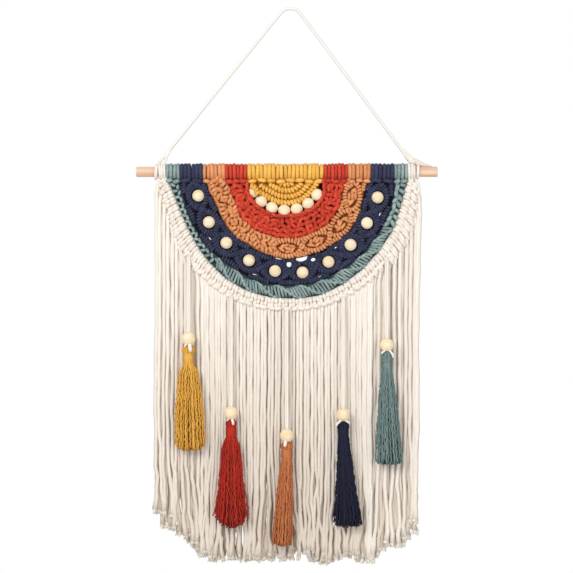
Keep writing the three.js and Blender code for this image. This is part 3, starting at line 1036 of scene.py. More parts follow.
def finished(shape: BMesh, name: str, finish: Finish, *nodes: str) -> Object:
    """Turns a shape in metres into a finished piece on the frame.

    Args:
        shape: the shape, which is freed.
        name: the piece's name.
        finish: its finish.
        nodes: the CAD nodes that it stands for.

    Returns:
        The piece.
    """
    made = placed(name, mesh_of(shape, name))
    finish.dress(made)
    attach(made, "root")
    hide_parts(*nodes)
    LOG.info("%s: %d faces", name, len(made.data.polygons))
    return made


@dataclass
class Mounting:
    """Lark's head knots side by side on the dowel: upright turns with short bars below them.

    `fullness` and `lift` are the least and the most that a turn is wide, as a share of the pitch,
    and high. `shift`, `tilt`, `bar_shift`, `bar_turn` and `bar_loose` say how uneven they lie.
    """

    pitch: float = 4.2
    turn_radius: float = 1.9
    fullness: Pair = (0.51, 0.59)
    lift: Pair = (1.0, 1.03)
    shift: float = 0.07
    tilt: float = 2.6
    bar_pitch: float = 9.6
    bar_share: float = 0.82
    bar_radius: float = 2.7
    bar_rise: float = 2.2
    bar_drop: float = 10.7
    bar_out: float = 5.0
    bar_shift: float = 0.8
    bar_turn: float = 9.0
    bar_loose: float = 6.0
    backing_drop: float = -8.6
    backing_radius: float = 2.2

    def tie(self, heap: Heap, start: float, end: float, bars: bool = True) -> None:
        """Fills a stretch of the dowel.

        Args:
            heap: the piece that the knots belong to.
            start: the stretch's left end, from the dowel's middle.
            end: its right end.
            bars: whether short bars close the knots below.
        """
        turn = wrap_round_dowel(DOWEL_RADIUS + self.turn_radius, self.turn_radius)
        count = max(1, round((end - start) / self.pitch))
        step = (end - start) / count
        for index in range(count):
            across = start + step * (index + 0.5) + heap.about(self.shift) * step
            half = step * heap.dice.uniform(*self.fullness) / self.turn_radius
            rise = heap.dice.uniform(*self.lift)
            place = Matrix.Translation(DOWEL_MIDDLE + Vector((across, 0, 0)))
            shape = Matrix.Diagonal((half, rise, rise, 1))
            heap.knot(turn, place @ turned(heap.about(self.tilt), "Y") @ shape, 0.0)
        discard(turn)
        if bars:
            self.bars(heap, start, end)

    def bars(self, heap: Heap, start: float, end: float) -> None:
        """Ties the row of short bars under the turns.

        Args:
            heap: the piece that the knots belong to.
            start: the row's left end, from the dowel's middle.
            end: its right end.
        """
        count = max(1, round((end - start) / self.bar_pitch))
        length = (end - start) / count
        behind = [
            DOWEL_MIDDLE + Vector((across, -self.bar_out / 2, self.backing_drop))
            for across in (start + self.turn_radius, (start + end) / 2, end - self.turn_radius)
        ]
        # A backing cord behind the bars, painted dark as shade for the gaps between them
        heap.cord(behind, self.backing_radius, painted_dim=CORE_PAINTED_DIM)
        bar = bar_knot(length * self.bar_share, self.bar_radius, self.bar_rise)
        for index in range(count):
            across = mix(start, end, (index + 0.5) / count)
            drop = self.bar_drop + heap.about(self.bar_shift)
            point = DOWEL_MIDDLE + Vector((across, -self.bar_out, -drop))
            heap.knot(bar, seat(point, Vector((1, 0, 0)), heap.about(self.bar_turn)), self.bar_loose)
        discard(bar)

    def both(self, heap: Heap, inner: Edge, outer: Edge, bars: bool = True) -> None:
        """Ties a band's mounting knots at both of its ends, with short bars below or without."""
        self.tie(heap, DISC_SHIFT - outer.value[0], DISC_SHIFT - inner.value[0], bars)
        self.tie(heap, DISC_SHIFT + inner.value[-1], DISC_SHIFT + outer.value[-1], bars)


@dataclass
class DowelRod:
    """The round wooden rod, with eased ends."""

    ease: float = 0.8
    ease_steps: int = 3
    sides: int = 48

    def build(self) -> Object:
        """Turns the rod and eases its ends."""
        low, high = span_of("dowel")
        shape = bmesh.new()
        bmesh.ops.create_cone(
            shape,
            cap_ends=True,
            segments=self.sides,
            radius1=DOWEL_RADIUS,
            radius2=DOWEL_RADIUS,
            depth=high.x - low.x,
        )
        rims = [edge for edge in shape.edges if len({vert.co.z > 0 for vert in edge.verts}) == 1]
        bmesh.ops.bevel(
            shape,
            geom=rims,
            offset=self.ease,
            segments=self.ease_steps,
            profile=0.5,
            affect="EDGES",
            material=-1,
        )
        settle(shape, Matrix.Translation((low + high) / 2) @ turned(90, "Y"))
        return finished(shape, "dowel_rod", Finish.DOWEL, "dowel")


@dataclass
class Beads:
    """Turned wooden beads: plain balls in the knots and bored ones over the tassels.

    `bore_ease` is how far the bore's rim is eased, across and down.
    """

    inner: int = 7
    navy: int = 10
    tassels: int = 5
    inner_radius: float = 7.1
    navy_radius: float = 6.95
    tassel_radius: float = 8.0
    tassel_half: float = 7.2
    bore: float = 2.5
    bore_ease: Pair = (0.7, 0.8)
    around: int = 28
    upright: int = 16
    profile_steps: int = 10
    flattened: float = 0.95
    turn_step: float = 50.0
    navy_from: int = 20

    def build(self) -> list[Object]:
        """Makes every bead in its node's place."""
        made = [self.ball(f"inner_bead_{n + 1}", self.inner_radius, n) for n in range(self.inner)]
        made += [
            self.ball(f"navy_bead_{n + 1}", self.navy_radius, n + self.navy_from)
            for n in range(self.navy)
        ]
        made += [self.bored(f"tassel_bead_{n + 1}") for n in range(self.tassels)]
        return made

    def ball(self, node: str, radius: float, number: int) -> Object:
        """Makes a bead whose bore is hidden.

        Args:
            node: the CAD node.
            radius: its radius.
            number: picks which way its hidden bore points.

        Returns:
            The piece.
        """
        shape = bmesh.new()
        bmesh.ops.create_uvsphere(
            shape, u_segments=self.around, v_segments=self.upright, radius=radius
        )
        turn = turned(self.turn_step * number, "Y") @ turned(90, "X")
        flat = Matrix.Diagonal((1, 1, self.flattened, 1))
        settle(shape, Matrix.Translation(middle_of(node)) @ turn @ flat)
        return finished(shape, node + "_turned", Finish.BEAD, node)

    def bored(self, node: str) -> Object:
        """Turns a bead with an upright bore.

        Args:
            node: the CAD node.

        Returns:
            The piece.
        """
        half, radius = self.tassel_half, self.tassel_radius
        wide, deep = self.bore_ease
        outline = [Vector((self.bore, 0.0, half - deep)), Vector((self.bore + wide, 0.0, half))]
        top = math.asin(half / radius)
        for step in range(self.profile_steps + 1):
            angle = mix(top, -top, step / self.profile_steps)
            outline.append(Vector((radius * math.cos(angle), 0.0, radius * math.sin(angle))))
        outline += [Vector((self.bore + wide, 0.0, -half)), Vector((self.bore, 0.0, deep - half))]
        shape = bmesh.new()
        corners = [shape.verts.new(point) for point in outline]
        edges = [shape.edges.new(pair) for pair in zip(corners, corners[1:] + corners[:1])]
        bmesh.ops.spin(
            shape,
            geom=[*corners, *edges],
            cent=(0, 0, 0),
            axis=(0, 0, 1),
            angle=math.tau,
            steps=self.around,
            use_merge=True,
        )
        bmesh.ops.remove_doubles(shape, verts=shape.verts, dist=0.001)
        bmesh.ops.recalc_face_normals(shape, faces=shape.faces)
        settle(shape, Matrix.Translation(middle_of(node)))
        return finished(shape, node + "_turned", Finish.BEAD, node)


@dataclass
class YellowFan:
    """Four rows of double half hitches under the dowel, and a short one over the first bead.

    `lap` is the short row, as places across and above the bead's middle. The fan bulges round
    `shoulder_at` degrees, and otherwise its rows follow its edge by the share `likeness`.
    """

    rows: tuple[float, ...] = (36.2, 29.2, 22.0, 14.9)
    row_out: float = 1.2
    edge_row_out: float = 2.4
    lap: tuple[Pair, ...] = ((-3.0, 7.0), (1.4, 4.6), (4.2, 1.0), (6.0, -3.6))
    lap_out: float = 5.4
    pitch: float = 3.9
    loose: float = 9.0
    lowest: float = 12.6
    shoulder: float = 3.8
    shoulder_at: float = 30.0
    shoulder_width: float = 14.0
    likeness: float = 0.8
    core_radii: Pair = (2.0, 44.0)
    core_lowest: float = 7.0
    core_out: float = -0.6
    beads_from: float = 38.0
    behind_beads: float = -4.6

    def build(self) -> Object:
        """Ties the fan."""
        heap = Heap("yellow_fan_knots", seed=11)
        left, right = Edge.YELLOW.value[0], Edge.YELLOW.value[-1]
        Mounting(pitch=4.6, bar_pitch=11.0).tie(heap, DISC_SHIFT - left, DISC_SHIFT + right)
        self.carriers(heap)
        hitch = wrap_knot(across=1.6, depth=2.2, radius=2.1, lean=0.5)
        for row in self.rows:
            low = math.degrees(math.asin(self.lowest / row))
            out = self.edge_row_out if row == self.rows[0] else self.row_out
            trail = arc(lambda place: self.stretch(row, place), low, 180 - low, out)
            heap.row(trail, hitch, self.pitch, self.loose)
        bead = middle_of("inner_bead_1")
        lap = Trail([bead + Vector((across, -self.lap_out, rise)) for across, rise in self.lap])
        heap.row(lap, hitch, self.pitch, self.loose)
        discard(hitch)
        return heap.piece(Finish.YELLOW, "yellow_fan")

    def carriers(self, heap: Heap) -> None:
        """Lays the carrying cords under the rows, and further back behind the beads, painted dark as
        shade.

        Args:
            heap: their piece.
        """
        radius, last = self.core_radii
        while radius < last:
            low = math.degrees(math.asin(min(1.0, self.core_lowest / radius)))
            out = self.core_out if radius < self.beads_from else self.behind_beads
            trail = arc(lambda place: self.stretch(radius, place), low, 180 - low, out)
            heap.cord(trail.points, CORE_RADIUS, painted_dim=CORE_PAINTED_DIM)
            radius += CORE_PITCH

    def stretch(self, radius: float, place: float) -> float:
        """Finds a row's radius at one place.

        Args:
            radius: its radius at the fan's middle.
            place: the place, in degrees.

        Returns:
            The radius there.
        """
        wider = math.exp(-((place - self.shoulder_at) / self.shoulder_width) ** 2)
        edge = Edge.YELLOW.radius(place) / Edge.YELLOW.radius(90)
        return radius * mix(1.0, edge, self.likeness) + self.shoulder * wider * radius / self.rows[0]


@dataclass
class RedBand:
    """Berry knots: fat short loops at changing slants, closed in between two edge cords.

    `lap_places` is the loops over the first bead, as degrees from it and reach past its middle.
    """

    rows: int = 5
    pitch: float = 5.2
    row_ends: Pair = (9.0, 171.0)
    core_out: float = -0.8
    # The carrying cords keep this share of the painted crown light, painted dark as shade
    core_painted_dim: float = 0.48
    loop_out: float = 3.2
    uneven: float = 1.4
    shift: float = 1.6
    sizes: Pair = (0.72, 1.2)
    slant: float = 40.0
    radial_slant: float = 84.0
    radial_until: float = 27.0
    turn: float = 34.0
    loose: float = 16.0
    lap_places: tuple[Pair, ...] = ((-10.0, 3.4), (-1.5, 6.4), (7.0, 8.0))
    lap_out: float = 8.0
    backing: float = 3.4
    backing_insets: Pair = (3.4, 0.2)
    backing_out: float = -4.8
    edge_pitch: float = 7.0

    def build(self) -> Object:
        """Ties the band."""
        heap = Heap("red_band_knots", seed=21)
        Mounting().both(heap, Edge.BEAD, Edge.RED)
        heap.cores(Edge.BEAD, Edge.RED, self.core_out, painted_dim=self.core_painted_dim)
        loop = bar_knot(length=9.0, radius=2.5, rise=2.7)
        for row in range(self.rows):
            share = (row + 0.5) / self.rows
            trail = arc(lambda place: between(Edge.BEAD, Edge.RED, share, place), *self.row_ends)
            count = round(trail.length / self.pitch)
            for index in range(count):
                point, along = trail.at(trail.length * (index + 0.5) / count)
                self.loop(heap, loop, point, along, row + index)
        discard(loop)
        self.edges(heap)
        self.lap(heap)
        return heap.piece(Finish.RED, "red_band")

    def loop(self, heap: Heap, mesh: Mesh, point: Vector, along: Vector, number: int) -> None:
        """Lays one fat loop.

        Args:
            heap: its piece.
            mesh: the loop.
            point: its place.
            along: the direction of its row.
            number: sets which way it slants.
        """
        slant = self.slant if number % 2 else -self.slant
        if degrees_of(point) < self.radial_until:
            slant = self.radial_slant
        out = self.loop_out + heap.about(self.uneven)
        place = point + TOWARDS_VIEWER * out + along * heap.about(self.shift)
        size = heap.dice.uniform(*self.sizes)
        stretch = Matrix.Diagonal((mix(1.15, 1.0, size - 0.2), size, 1.0, 1.0))
        heap.knot(mesh, seat(place, along, slant + heap.about(self.turn)) @ stretch, self.loose)

    def lap(self, heap: Heap) -> None:
        """Lays three loops over the outer half of the first bead.

        Args:
            heap: their piece.
        """
        bead = middle_of("inner_bead_1")
        loop = bar_knot(length=9.4, radius=2.2, rise=2.0)
        for shift, reach in self.lap_places:
            place = degrees_of(bead) + shift
            point = on_disc(place, radius_of(bead) + reach, self.lap_out)
            ahead = on_disc(place + 1, radius_of(bead)) - on_disc(place - 1, radius_of(bead))
            heap.knot(loop, seat(point, ahead, heap.about(16)), loose=6)
        discard(loop)

    def edges(self, heap: Heap) -> None:
        """Backs the beads with cords painted dark as shade, and lays loops along both edges, the inner
        ones over the beads' rims.

        Args:
            heap: their piece.
        """
        for inset in self.backing_insets:
            trail = arc(lambda place: Edge.BEAD.radius(place) - inset, 14, 166, self.backing_out)
            heap.cord(trail.points, self.backing, painted_dim=CORE_PAINTED_DIM)
        loop = bar_knot(length=8.4, radius=2.2, rise=2.6)
        inner = arc(lambda place: Edge.BEAD.radius(place) + 1.0, start=24, end=170, out=6.2)
        outer = arc(lambda place: Edge.RED.radius(place) - 2.2, start=20, end=164, out=3.0)
        heap.row(inner, loop, self.edge_pitch, loose=24.0)
        heap.row(outer, loop, self.edge_pitch, loose=32.0)
        discard(loop)


@dataclass
class Chain:
    """Two rows of hitches that wind across a band and cross between its eyes.

    `swing` is how far a row winds from the band's middle, and `lift` how far one crosses over the
    other. The border rows lie `border_drop` behind, `corner` further in at each crossing.
    """

    eyes: Sequence[float]
    inner: Edge
    outer: Edge
    swing: float
    out: float
    pitch: float
    loose: float = 4.0
    holes: Sequence[Hole] = ()
    fullness: float = 0.6
    lift: float = 1.1
    steps: int = 12
    corner: float = 1.5
    border_drop: float = 0.8
    border_ends: Pair = (6.0, 174.0)

    def crossings(self) -> list[float]:
        """Works out where the rows cross.

        Returns:
            The places in degrees, with one beyond each end.
        """
        inside = [(low + high) / 2 for low, high in zip(self.eyes, self.eyes[1:])]
        first = 2 * self.eyes[0] - inside[0]
        last = 2 * self.eyes[-1] - inside[-1]
        return [first, *inside, last]

    def wind(self, heap: Heap, hitch: Mesh) -> None:
        """Winds both rows.

        Args:
            heap: their piece.
            hitch: one hitch.
        """
        places = self.crossings()
        for side in (-1, 1):
            for number, (start, end) in enumerate(zip(places, places[1:])):
                way = side if number % 2 else -side
                lift = self.lift if side > 0 else 0.0
                points = []
                for step in range(self.steps + 1):
                    share = step / self.steps
                    here = mix(start, end, share)
                    middle = between(self.inner, self.outer, 0.5, here)
                    swing = way * self.swing * math.sin(math.pi * share) ** self.fullness
                    points.append(on_disc(here, middle + swing, self.out + lift))
                heap.row(Trail(points), hitch, self.pitch, self.loose, self.holes)

    def borders(self, heap: Heap, hitch: Mesh, inset: float, reach: float) -> None:
        """Closes the corners beside each crossing with rows along the band's edges.

        Args:
            heap: their piece.
            hitch: one hitch.
            inset: how far they lie inside the band's edge.
            reach: how many degrees they run to either side.
        """
        first, last = self.border_ends
        for place in self.crossings():
            start, end = max(place - reach, first), min(place + reach, last)
            if end - start < reach / 2:
                continue
            for edge, way in ((self.inner, 1), (self.outer, -1)):

                def line(here: float) -> float:
                    """The row's radius, furthest in at the crossing."""
                    away = abs(here - place) / reach
                    return edge.radius(here) + way * (inset + self.corner - away * self.corner)

                trail = arc(line, start, end, self.out - self.border_drop)
                heap.row(trail, hitch, self.pitch, self.loose, self.holes)


@dataclass
class OrangeBand:
    """Leaf shaped eyes: loose fat knots on the left, close hitches on the right.

    `swirl` is half the width and half the length of the loops' ring in an eye. `stray_spread` is how
    far the loops over its middle stray across, along and out.
    """

    left_eyes: tuple[float, ...] = (14.0, 33.5, 54.5, 73.0)
    right_eyes: tuple[float, ...] = (91.0, 113.0, 137.0, 159.5)
    core_out: float = -0.9
    # The carrying cords keep this share of the painted crown light, painted dark as shade
    core_painted_dim: float = 0.56
    rim_out: float = 1.6
    # The cords round the openings keep this share of the painted crown light, a slight painted shade
    rim_painted_dim: float = 0.9
    swirl: Pair = (3.4, 7.2)
    swirl_out: float = 2.2
    swirl_shift: float = 0.3
    swirl_uneven: float = 0.6
    swirl_turn: float = 24.0
    stray_out: float = 1.6
    stray_spread: Three = (1.6, 4.0, 0.5)
    stray_turn: float = 50.0
    loose: float = 12.0

    def build(self) -> Object:
        """Ties the band."""
        heap = Heap("orange_band_knots", seed=31)
        Mounting().both(heap, Edge.RED, Edge.ORANGE)
        heap.cores(Edge.RED, Edge.ORANGE, self.core_out, holes=HOLES, painted_dim=self.core_painted_dim)
        heap.rims(Edge.RED, Edge.ORANGE, self.rim_out, HOLES, self.rim_painted_dim)
        fat = wrap_knot(across=1.8, depth=2.6, radius=2.3, lean=0.7)
        fine = wrap_knot(across=1.5, depth=2.3, radius=1.85, lean=0.4)
        bar = bar_knot(length=8.6, radius=2.15, rise=2.4)
        fat_bar = bar_knot(length=8.8, radius=2.5, rise=2.8)
        left = self.chain(self.left_eyes, swing=7.2, out=2.0, pitch=5.0, loose=28.0)
        rims = self.chain(self.left_eyes, swing=7.2, out=2.6, pitch=7.0, loose=16.0)
        right = self.chain(self.right_eyes, swing=9.4, out=2.0, pitch=3.7, loose=6.0)
        left.wind(heap, fat)
        right.wind(heap, fine)
        rims.borders(heap, fat_bar, inset=2.4, reach=9.6)
        right.borders(heap, fine, inset=2.6, reach=5.0)
        for place in self.left_eyes:
            self.fill(heap, place, fat_bar, count=4, strays=2)
        for place in self.right_eyes:
            self.fill(heap, place, bar, count=6, strays=1)
        discard(fat, fine, bar, fat_bar)
        return heap.piece(Finish.ORANGE, "orange_band")

    def chain(self, eyes: Sequence[float], **sizes: float) -> Chain:
        """Rows of this band round some of its eyes, of the given sizes."""
        return Chain(eyes, Edge.RED, Edge.ORANGE, holes=HOLES, **sizes)

    def base(self, place: float, out: float) -> Matrix:
        """Finds the axes of an eye.

        Args:
            place: the eye's middle, in degrees.
            out: how far they lie towards the viewer.

        Returns:
            The axes, with Y along the band.
        """
        radius = between(Edge.RED, Edge.ORANGE, 0.5, place)
        ahead = on_disc(place + 1, radius) - on_disc(place - 1, radius)
        return seat(on_disc(place, radius, out), ahead)

    def fill(self, heap: Heap, place: float, bar: Mesh, count: int, strays: int) -> None:
        """Lays fat loops in a swirl in an eye, with slits between them, and a few over its middle.

        Args:
            heap: their piece.
            place: the eye's middle, in degrees.
            bar: one loop.
            count: how many make up the swirl.
            strays: how many lie over its middle.
        """
        half_width, half_length = self.swirl
        base = self.base(place, self.swirl_out)
        for number in range(count):
            turn = math.tau * number / count + heap.about(self.swirl_shift)
            across = half_width * math.cos(turn)
            along = half_length * math.sin(turn)
            lead = math.degrees(math.atan2(half_width * math.sin(turn), half_length * math.cos(turn)))
            offset = Matrix.Translation((across, along, heap.about(self.swirl_uneven)))
            heap.knot(bar, base @ offset @ turned(lead + self.swirl_turn, "Z"), self.loose)
        for _ in range(strays):
            across, along, out = (heap.about(spread) for spread in self.stray_spread)
            offset = Matrix.Translation((across, along, self.stray_out + out))
            heap.knot(bar, base @ offset @ turned(heap.about(self.stray_turn), "Z"), self.loose)


@dataclass
class NavyBand:
    """Rows of close hitches that cross between the beads and leave a diamond round each."""

    beads: int = 10
    core_out: float = -1.0
    # The carrying cords keep this share of the painted crown light, painted dark as shade
    core_painted_dim: float = 0.6
    rim_out: float = 1.4
    # The cords round the openings keep this share of the painted crown light, a slight painted shade
    rim_painted_dim: float = 0.85
    pitch: float = 3.3
    collar: float = 11.0
    collar_out: float = 0.6
    collar_steps: int = 24
    collar_loose: float = 8.0

    def build(self) -> Object:
        """Ties the band."""
        heap = Heap("navy_band_knots", seed=41)
        Mounting(bar_pitch=13.0).both(heap, Edge.ORANGE, Edge.NAVY)
        heap.cores(Edge.ORANGE, Edge.NAVY, self.core_out, holes=HOLES, painted_dim=self.core_painted_dim)
        heap.rims(Edge.ORANGE, Edge.NAVY, self.rim_out, HOLES, self.rim_painted_dim)
        hitch = wrap_knot(across=1.65, depth=2.4, radius=1.75, lean=0.4)
        beads = [middle_of(f"navy_bead_{n + 1}") for n in range(self.beads)]
        chain = Chain(
            [degrees_of(bead) for bead in beads],
            Edge.ORANGE,
            Edge.NAVY,
            swing=9.9,
            out=1.6,
            pitch=self.pitch,
            loose=5.0,
            holes=HOLES,
            fullness=0.75,
        )
        chain.wind(heap, hitch)
        chain.borders(heap, hitch, inset=2.4, reach=5.6)
        for bead in beads:
            middle = Vector((bead.x, -self.collar_out, bead.z))
            turns = [math.tau * step / self.collar_steps for step in range(self.collar_steps + 1)]
            ring = [middle + self.collar * Vector((math.cos(a), 0.0, math.sin(a))) for a in turns]
            heap.row(Trail(ring), hitch, self.pitch, self.collar_loose, HOLES)
        discard(hitch)
        return heap.piece(Finish.NAVY, "navy_band")


@dataclass
class TealBand:
    """A sinnet of half knots that twists as it runs round the disc.

    It is narrow at the left, where it shows as small bumps, and ends in fat lumps at the right.
    `bump_turns` and `lump_turns` are how those lie, in degrees, on either side by turns.
    """

    pitch: float = 3.8
    ends: Pair = (4.0, 176.0)
    out: float = 1.2
    wave: float = 27.0
    rib_radius: float = 1.65
    rib_lean: float = 0.6
    rib_loose: float = 6.0
    least: Pair = (1.7, 1.5)
    overlap: float = 0.6
    depth_share: float = 0.6
    flatness: float = 0.62
    slant: float = 20.0
    narrow_slant: float = 42.0
    narrow_until: float = 52.0
    bump_pitch: float = 4.5
    bump_side: float = 0.5
    bump_inset: float = 0.4
    bump_rise: float = 1.2
    bump_turns: Pair = (-18.0, 66.0)
    bump_loose: float = 20.0
    edge_bump_loose: float = 12.0
    lumps_from: float = 151.0
    lump_side: float = 0.6
    lump_shift: float = 0.6
    lump_rise: float = 1.9
    lump_uneven: float = 0.7
    lump_turns: Pair = (-14.0, 56.0)
    lump_loose: float = 24.0
    core_out: float = -1.6
    # The carrying cords keep this share of the painted crown light, painted dark as shade
    core_painted_dim: float = 0.58

    def build(self) -> Object:
        """Ties the band."""
        heap = Heap("teal_band_knots", seed=51)
        Mounting().both(heap, Edge.NAVY, Edge.TEAL)
        trail = arc(lambda place: between(Edge.NAVY, Edge.TEAL, 0.5, place), *self.ends, self.out)
        count = round(trail.length / self.pitch)
        bump = bar_knot(length=5.6, radius=1.85, rise=1.4)
        lump = bar_knot(length=7.6, radius=2.65, rise=2.3)
        for index in range(count):
            distance = trail.length * (index + 0.5) / count
            point, along = trail.at(distance)
            wide, deep = self.halves(point)
            odd = index % 2
            way = 1 if odd else -1
            if degrees_of(point) < self.narrow_until:
                side = (wide - self.bump_inset) * self.bump_side * way
                place = seat(point, along) @ Matrix.Translation((side, 0.0, self.bump_rise + odd))
                heap.knot(bump, place @ turned(self.bump_turns[odd], "Z"), self.bump_loose)
            elif degrees_of(point) > self.lumps_from:
                side = wide * self.lump_side * way + heap.about(self.lump_shift)
                rise = self.lump_rise + heap.about(self.lump_uneven)
                place = seat(point, along) @ Matrix.Translation((side, 0.0, rise))
                heap.knot(lump, place @ turned(self.lump_turns[odd], "Z"), self.lump_loose)
            else:
                self.rib(heap, trail, distance, wide, deep)
        for start in (0.0, 180.0):
            self.bumps(heap, trail, bump, start)
        discard(bump, lump)
        heap.cores(Edge.NAVY, Edge.TEAL, self.core_out, painted_dim=self.core_painted_dim)
        return heap.piece(Finish.TEAL, "teal_band")

    def rib(self, heap: Heap, trail: Trail, distance: float, wide: float, deep: float) -> None:
        """Ties one rib of the twist.

        Args:
            heap: its piece.
            trail: the sinnet's middle.
            distance: how far along it the rib lies.
            wide: half the sinnet's width there.
            deep: half its depth.
        """
        point, along = trail.at(distance)
        roll = 180 * distance / self.wave
        slant = mix(self.narrow_slant, self.slant, limited((wide - 2) / 4))
        flat = Matrix.Diagonal((1.0, 1.0, self.flatness, 1.0))
        rib = wrap_knot(wide, deep, self.rib_radius, self.rib_lean)
        heap.knot(rib, seat(point, along, slant) @ flat @ turned(roll, "Y"), self.rib_loose)
        discard(rib)

    def halves(self, point: Vector) -> Pair:
        """Finds how wide and deep the sinnet is at a point.

        Args:
            point: the point.

        Returns:
            Half its width and half its depth, out to its cords' middles.
        """
        place = degrees_of(point)
        least_wide, least_deep = self.least
        half = (Edge.TEAL.radius(place) - Edge.NAVY.radius(place)) / 2 + self.overlap
        wide = max(least_wide, half - self.rib_radius)
        return wide, max(least_deep, wide * self.depth_share)

    def bumps(self, heap: Heap, trail: Trail, bump: Mesh, start: float) -> None:
        """Ties one of the two rows of bumps that outline the twist.

        Args:
            heap: their piece.
            trail: the sinnet's middle.
            bump: one bump.
            start: where round the sinnet the row starts, in degrees.
        """
        steps = round(trail.length / self.bump_pitch)
        spots = []
        for step in range(steps + 1):
            point, along = trail.at(trail.length * step / steps)
            wide, _ = self.halves(point)
            turn = math.radians(start + 180 * trail.length * step / steps / self.wave)
            across = seat(point, along).col[0].to_3d() * math.cos(turn)
            spots.append(point + (across - TOWARDS_VIEWER * math.sin(turn) * self.flatness) * wide)
        for here, ahead in zip(spots, spots[1:]):
            if self.narrow_until < degrees_of(here) < self.lumps_from:
                heap.knot(bump, seat((here + ahead) / 2, ahead - here), self.edge_bump_loose)


def side_lap(degrees: float) -> float:
    """How far the white ribs run on over the fringe beside the dowel, in millimetres."""
    return SIDE_LAP * limited((SIDE_LAP_UNTIL - min(degrees, 180 - degrees)) / SIDE_LAP_EASE)


@dataclass
class WhiteBand:
    """Pairs of ribs side by side round the edge, their outer ends led down into the fringe.

    `profile` is a rib's path: the share of its length, how far out it lies, the share of its radius.
    `neck_path` is the path of the cords by the dowel: degrees below it and how far out.
    """

    pitch: float = 4.1
    ends: Pair = (2.6, 177.0)
    lean: float = 0.14
    lean_spread: float = 0.06
    shift: float = 0.16
    core_out: float = -0.9
    core_ends: Pair = (3.0, 177.0)
    # The carrying cords keep this share of the painted crown light, painted shade between the ribs
    core_painted_dim: float = 0.75
    rib_radius: float = 2.3
    rib_sides: int = 7
    uneven: float = 0.07
    uneven_rise: float = 0.22
    inset: float = 0.7
    inner_spread: float = 0.5
    outer_spread: float = 1.1
    bar_room: float = 3.4
    sag: float = 4.6
    sag_right: float = 9.0
    sag_spread: float = 0.7
    sag_turn: Pair = (120.0, 30.0)
    stagger: float = 1.1
    profile: tuple[Three, ...] = (
        (0.0, -0.6, 0.7),
        (0.1, 1.8, 0.95),
        (0.26, 3.1, 1.06),
        (0.43, 2.6, 0.95),
        (0.54, 1.2, 0.82),
        (0.65, 2.6, 0.96),
        (0.8, 3.5, 1.1),
        (0.93, 2.1, 1.0),
        (1.0, 0.2, 0.7),
    )
    neck_path: tuple[Pair, ...] = ((1.2, 5.0), (3.0, 4.2), (5.0, 2.6), (7.5, 1.5))
    neck_radius: float = 1.8

    def build(self) -> Object:
        """Ties the band with the turns that hold it to the dowel."""
        heap = Heap("white_band_knots", seed=61)
        Mounting(pitch=3.3).both(heap, Edge.TEAL, Edge.WHITE, False)
        heap.cores(Edge.TEAL, Edge.WHITE, self.core_out, self.core_ends, painted_dim=self.core_painted_dim)
        trail = arc(lambda place: between(Edge.TEAL, Edge.WHITE, 0.5, place), *self.ends)
        count = 2 * round(trail.length / self.pitch / 2)
        for index in range(count):
            point, _ = trail.at(trail.length * (index + 0.5) / count)
            pair = (self.lean if index % 2 else -self.lean) + heap.about(self.lean_spread)
            self.rib(heap, degrees_of(point) - pair + heap.about(self.shift), pair)
        self.neck(heap)
        return heap.piece(Finish.COTTON, "white_band")

    def rib(self, heap: Heap, place: float, pair: float) -> None:
        """Leads one rib from the teal edge over the carrying cords to the fringe.

        Args:
            heap: its piece.
            place: where it lies, in degrees.
            pair: how far its two halves lean together, in degrees.
        """
        inner = Edge.TEAL.radius(place) + self.inset + heap.about(self.inner_spread)
        outer = Edge.WHITE.radius(place) - self.bar_room + side_lap(place)
        outer += heap.about(self.outer_spread)
        outer += math.copysign(self.stagger, pair)
        start, reach = self.sag_turn
        droop = mix(self.sag, self.sag_right, limited((place - start) / reach))
        sag = droop * abs(math.cos(math.radians(place))) + heap.about(self.sag_spread)
        rise = 1 + heap.about(self.uneven_rise)
        path = [
            on_disc(place + 2 * pair * share, mix(inner, outer, share), out * rise) - UP * sag * share ** 2
            for share, out, _ in self.profile
        ]
        size = self.rib_radius * (1 + heap.about(self.uneven))
        heap.cord(path, [size * part for _, _, part in self.profile], self.rib_sides)

    def neck(self, heap: Heap) -> None:
        """Leads the cords from the turns on the dowel down into the ribs.

        Args:
            heap: their piece.
        """
        for side, way, insets in ((0.0, 1, (1.6, 4.8)), (180.0, -1, (1.6, 4.9))):
            for inset in insets:
                path = [
                    on_disc(side + way * place, Edge.WHITE.radius(side + way * place) - inset, out)
                    for place, out in self.neck_path
                ]
                heap.cord(path, self.neck_radius, sides=8)


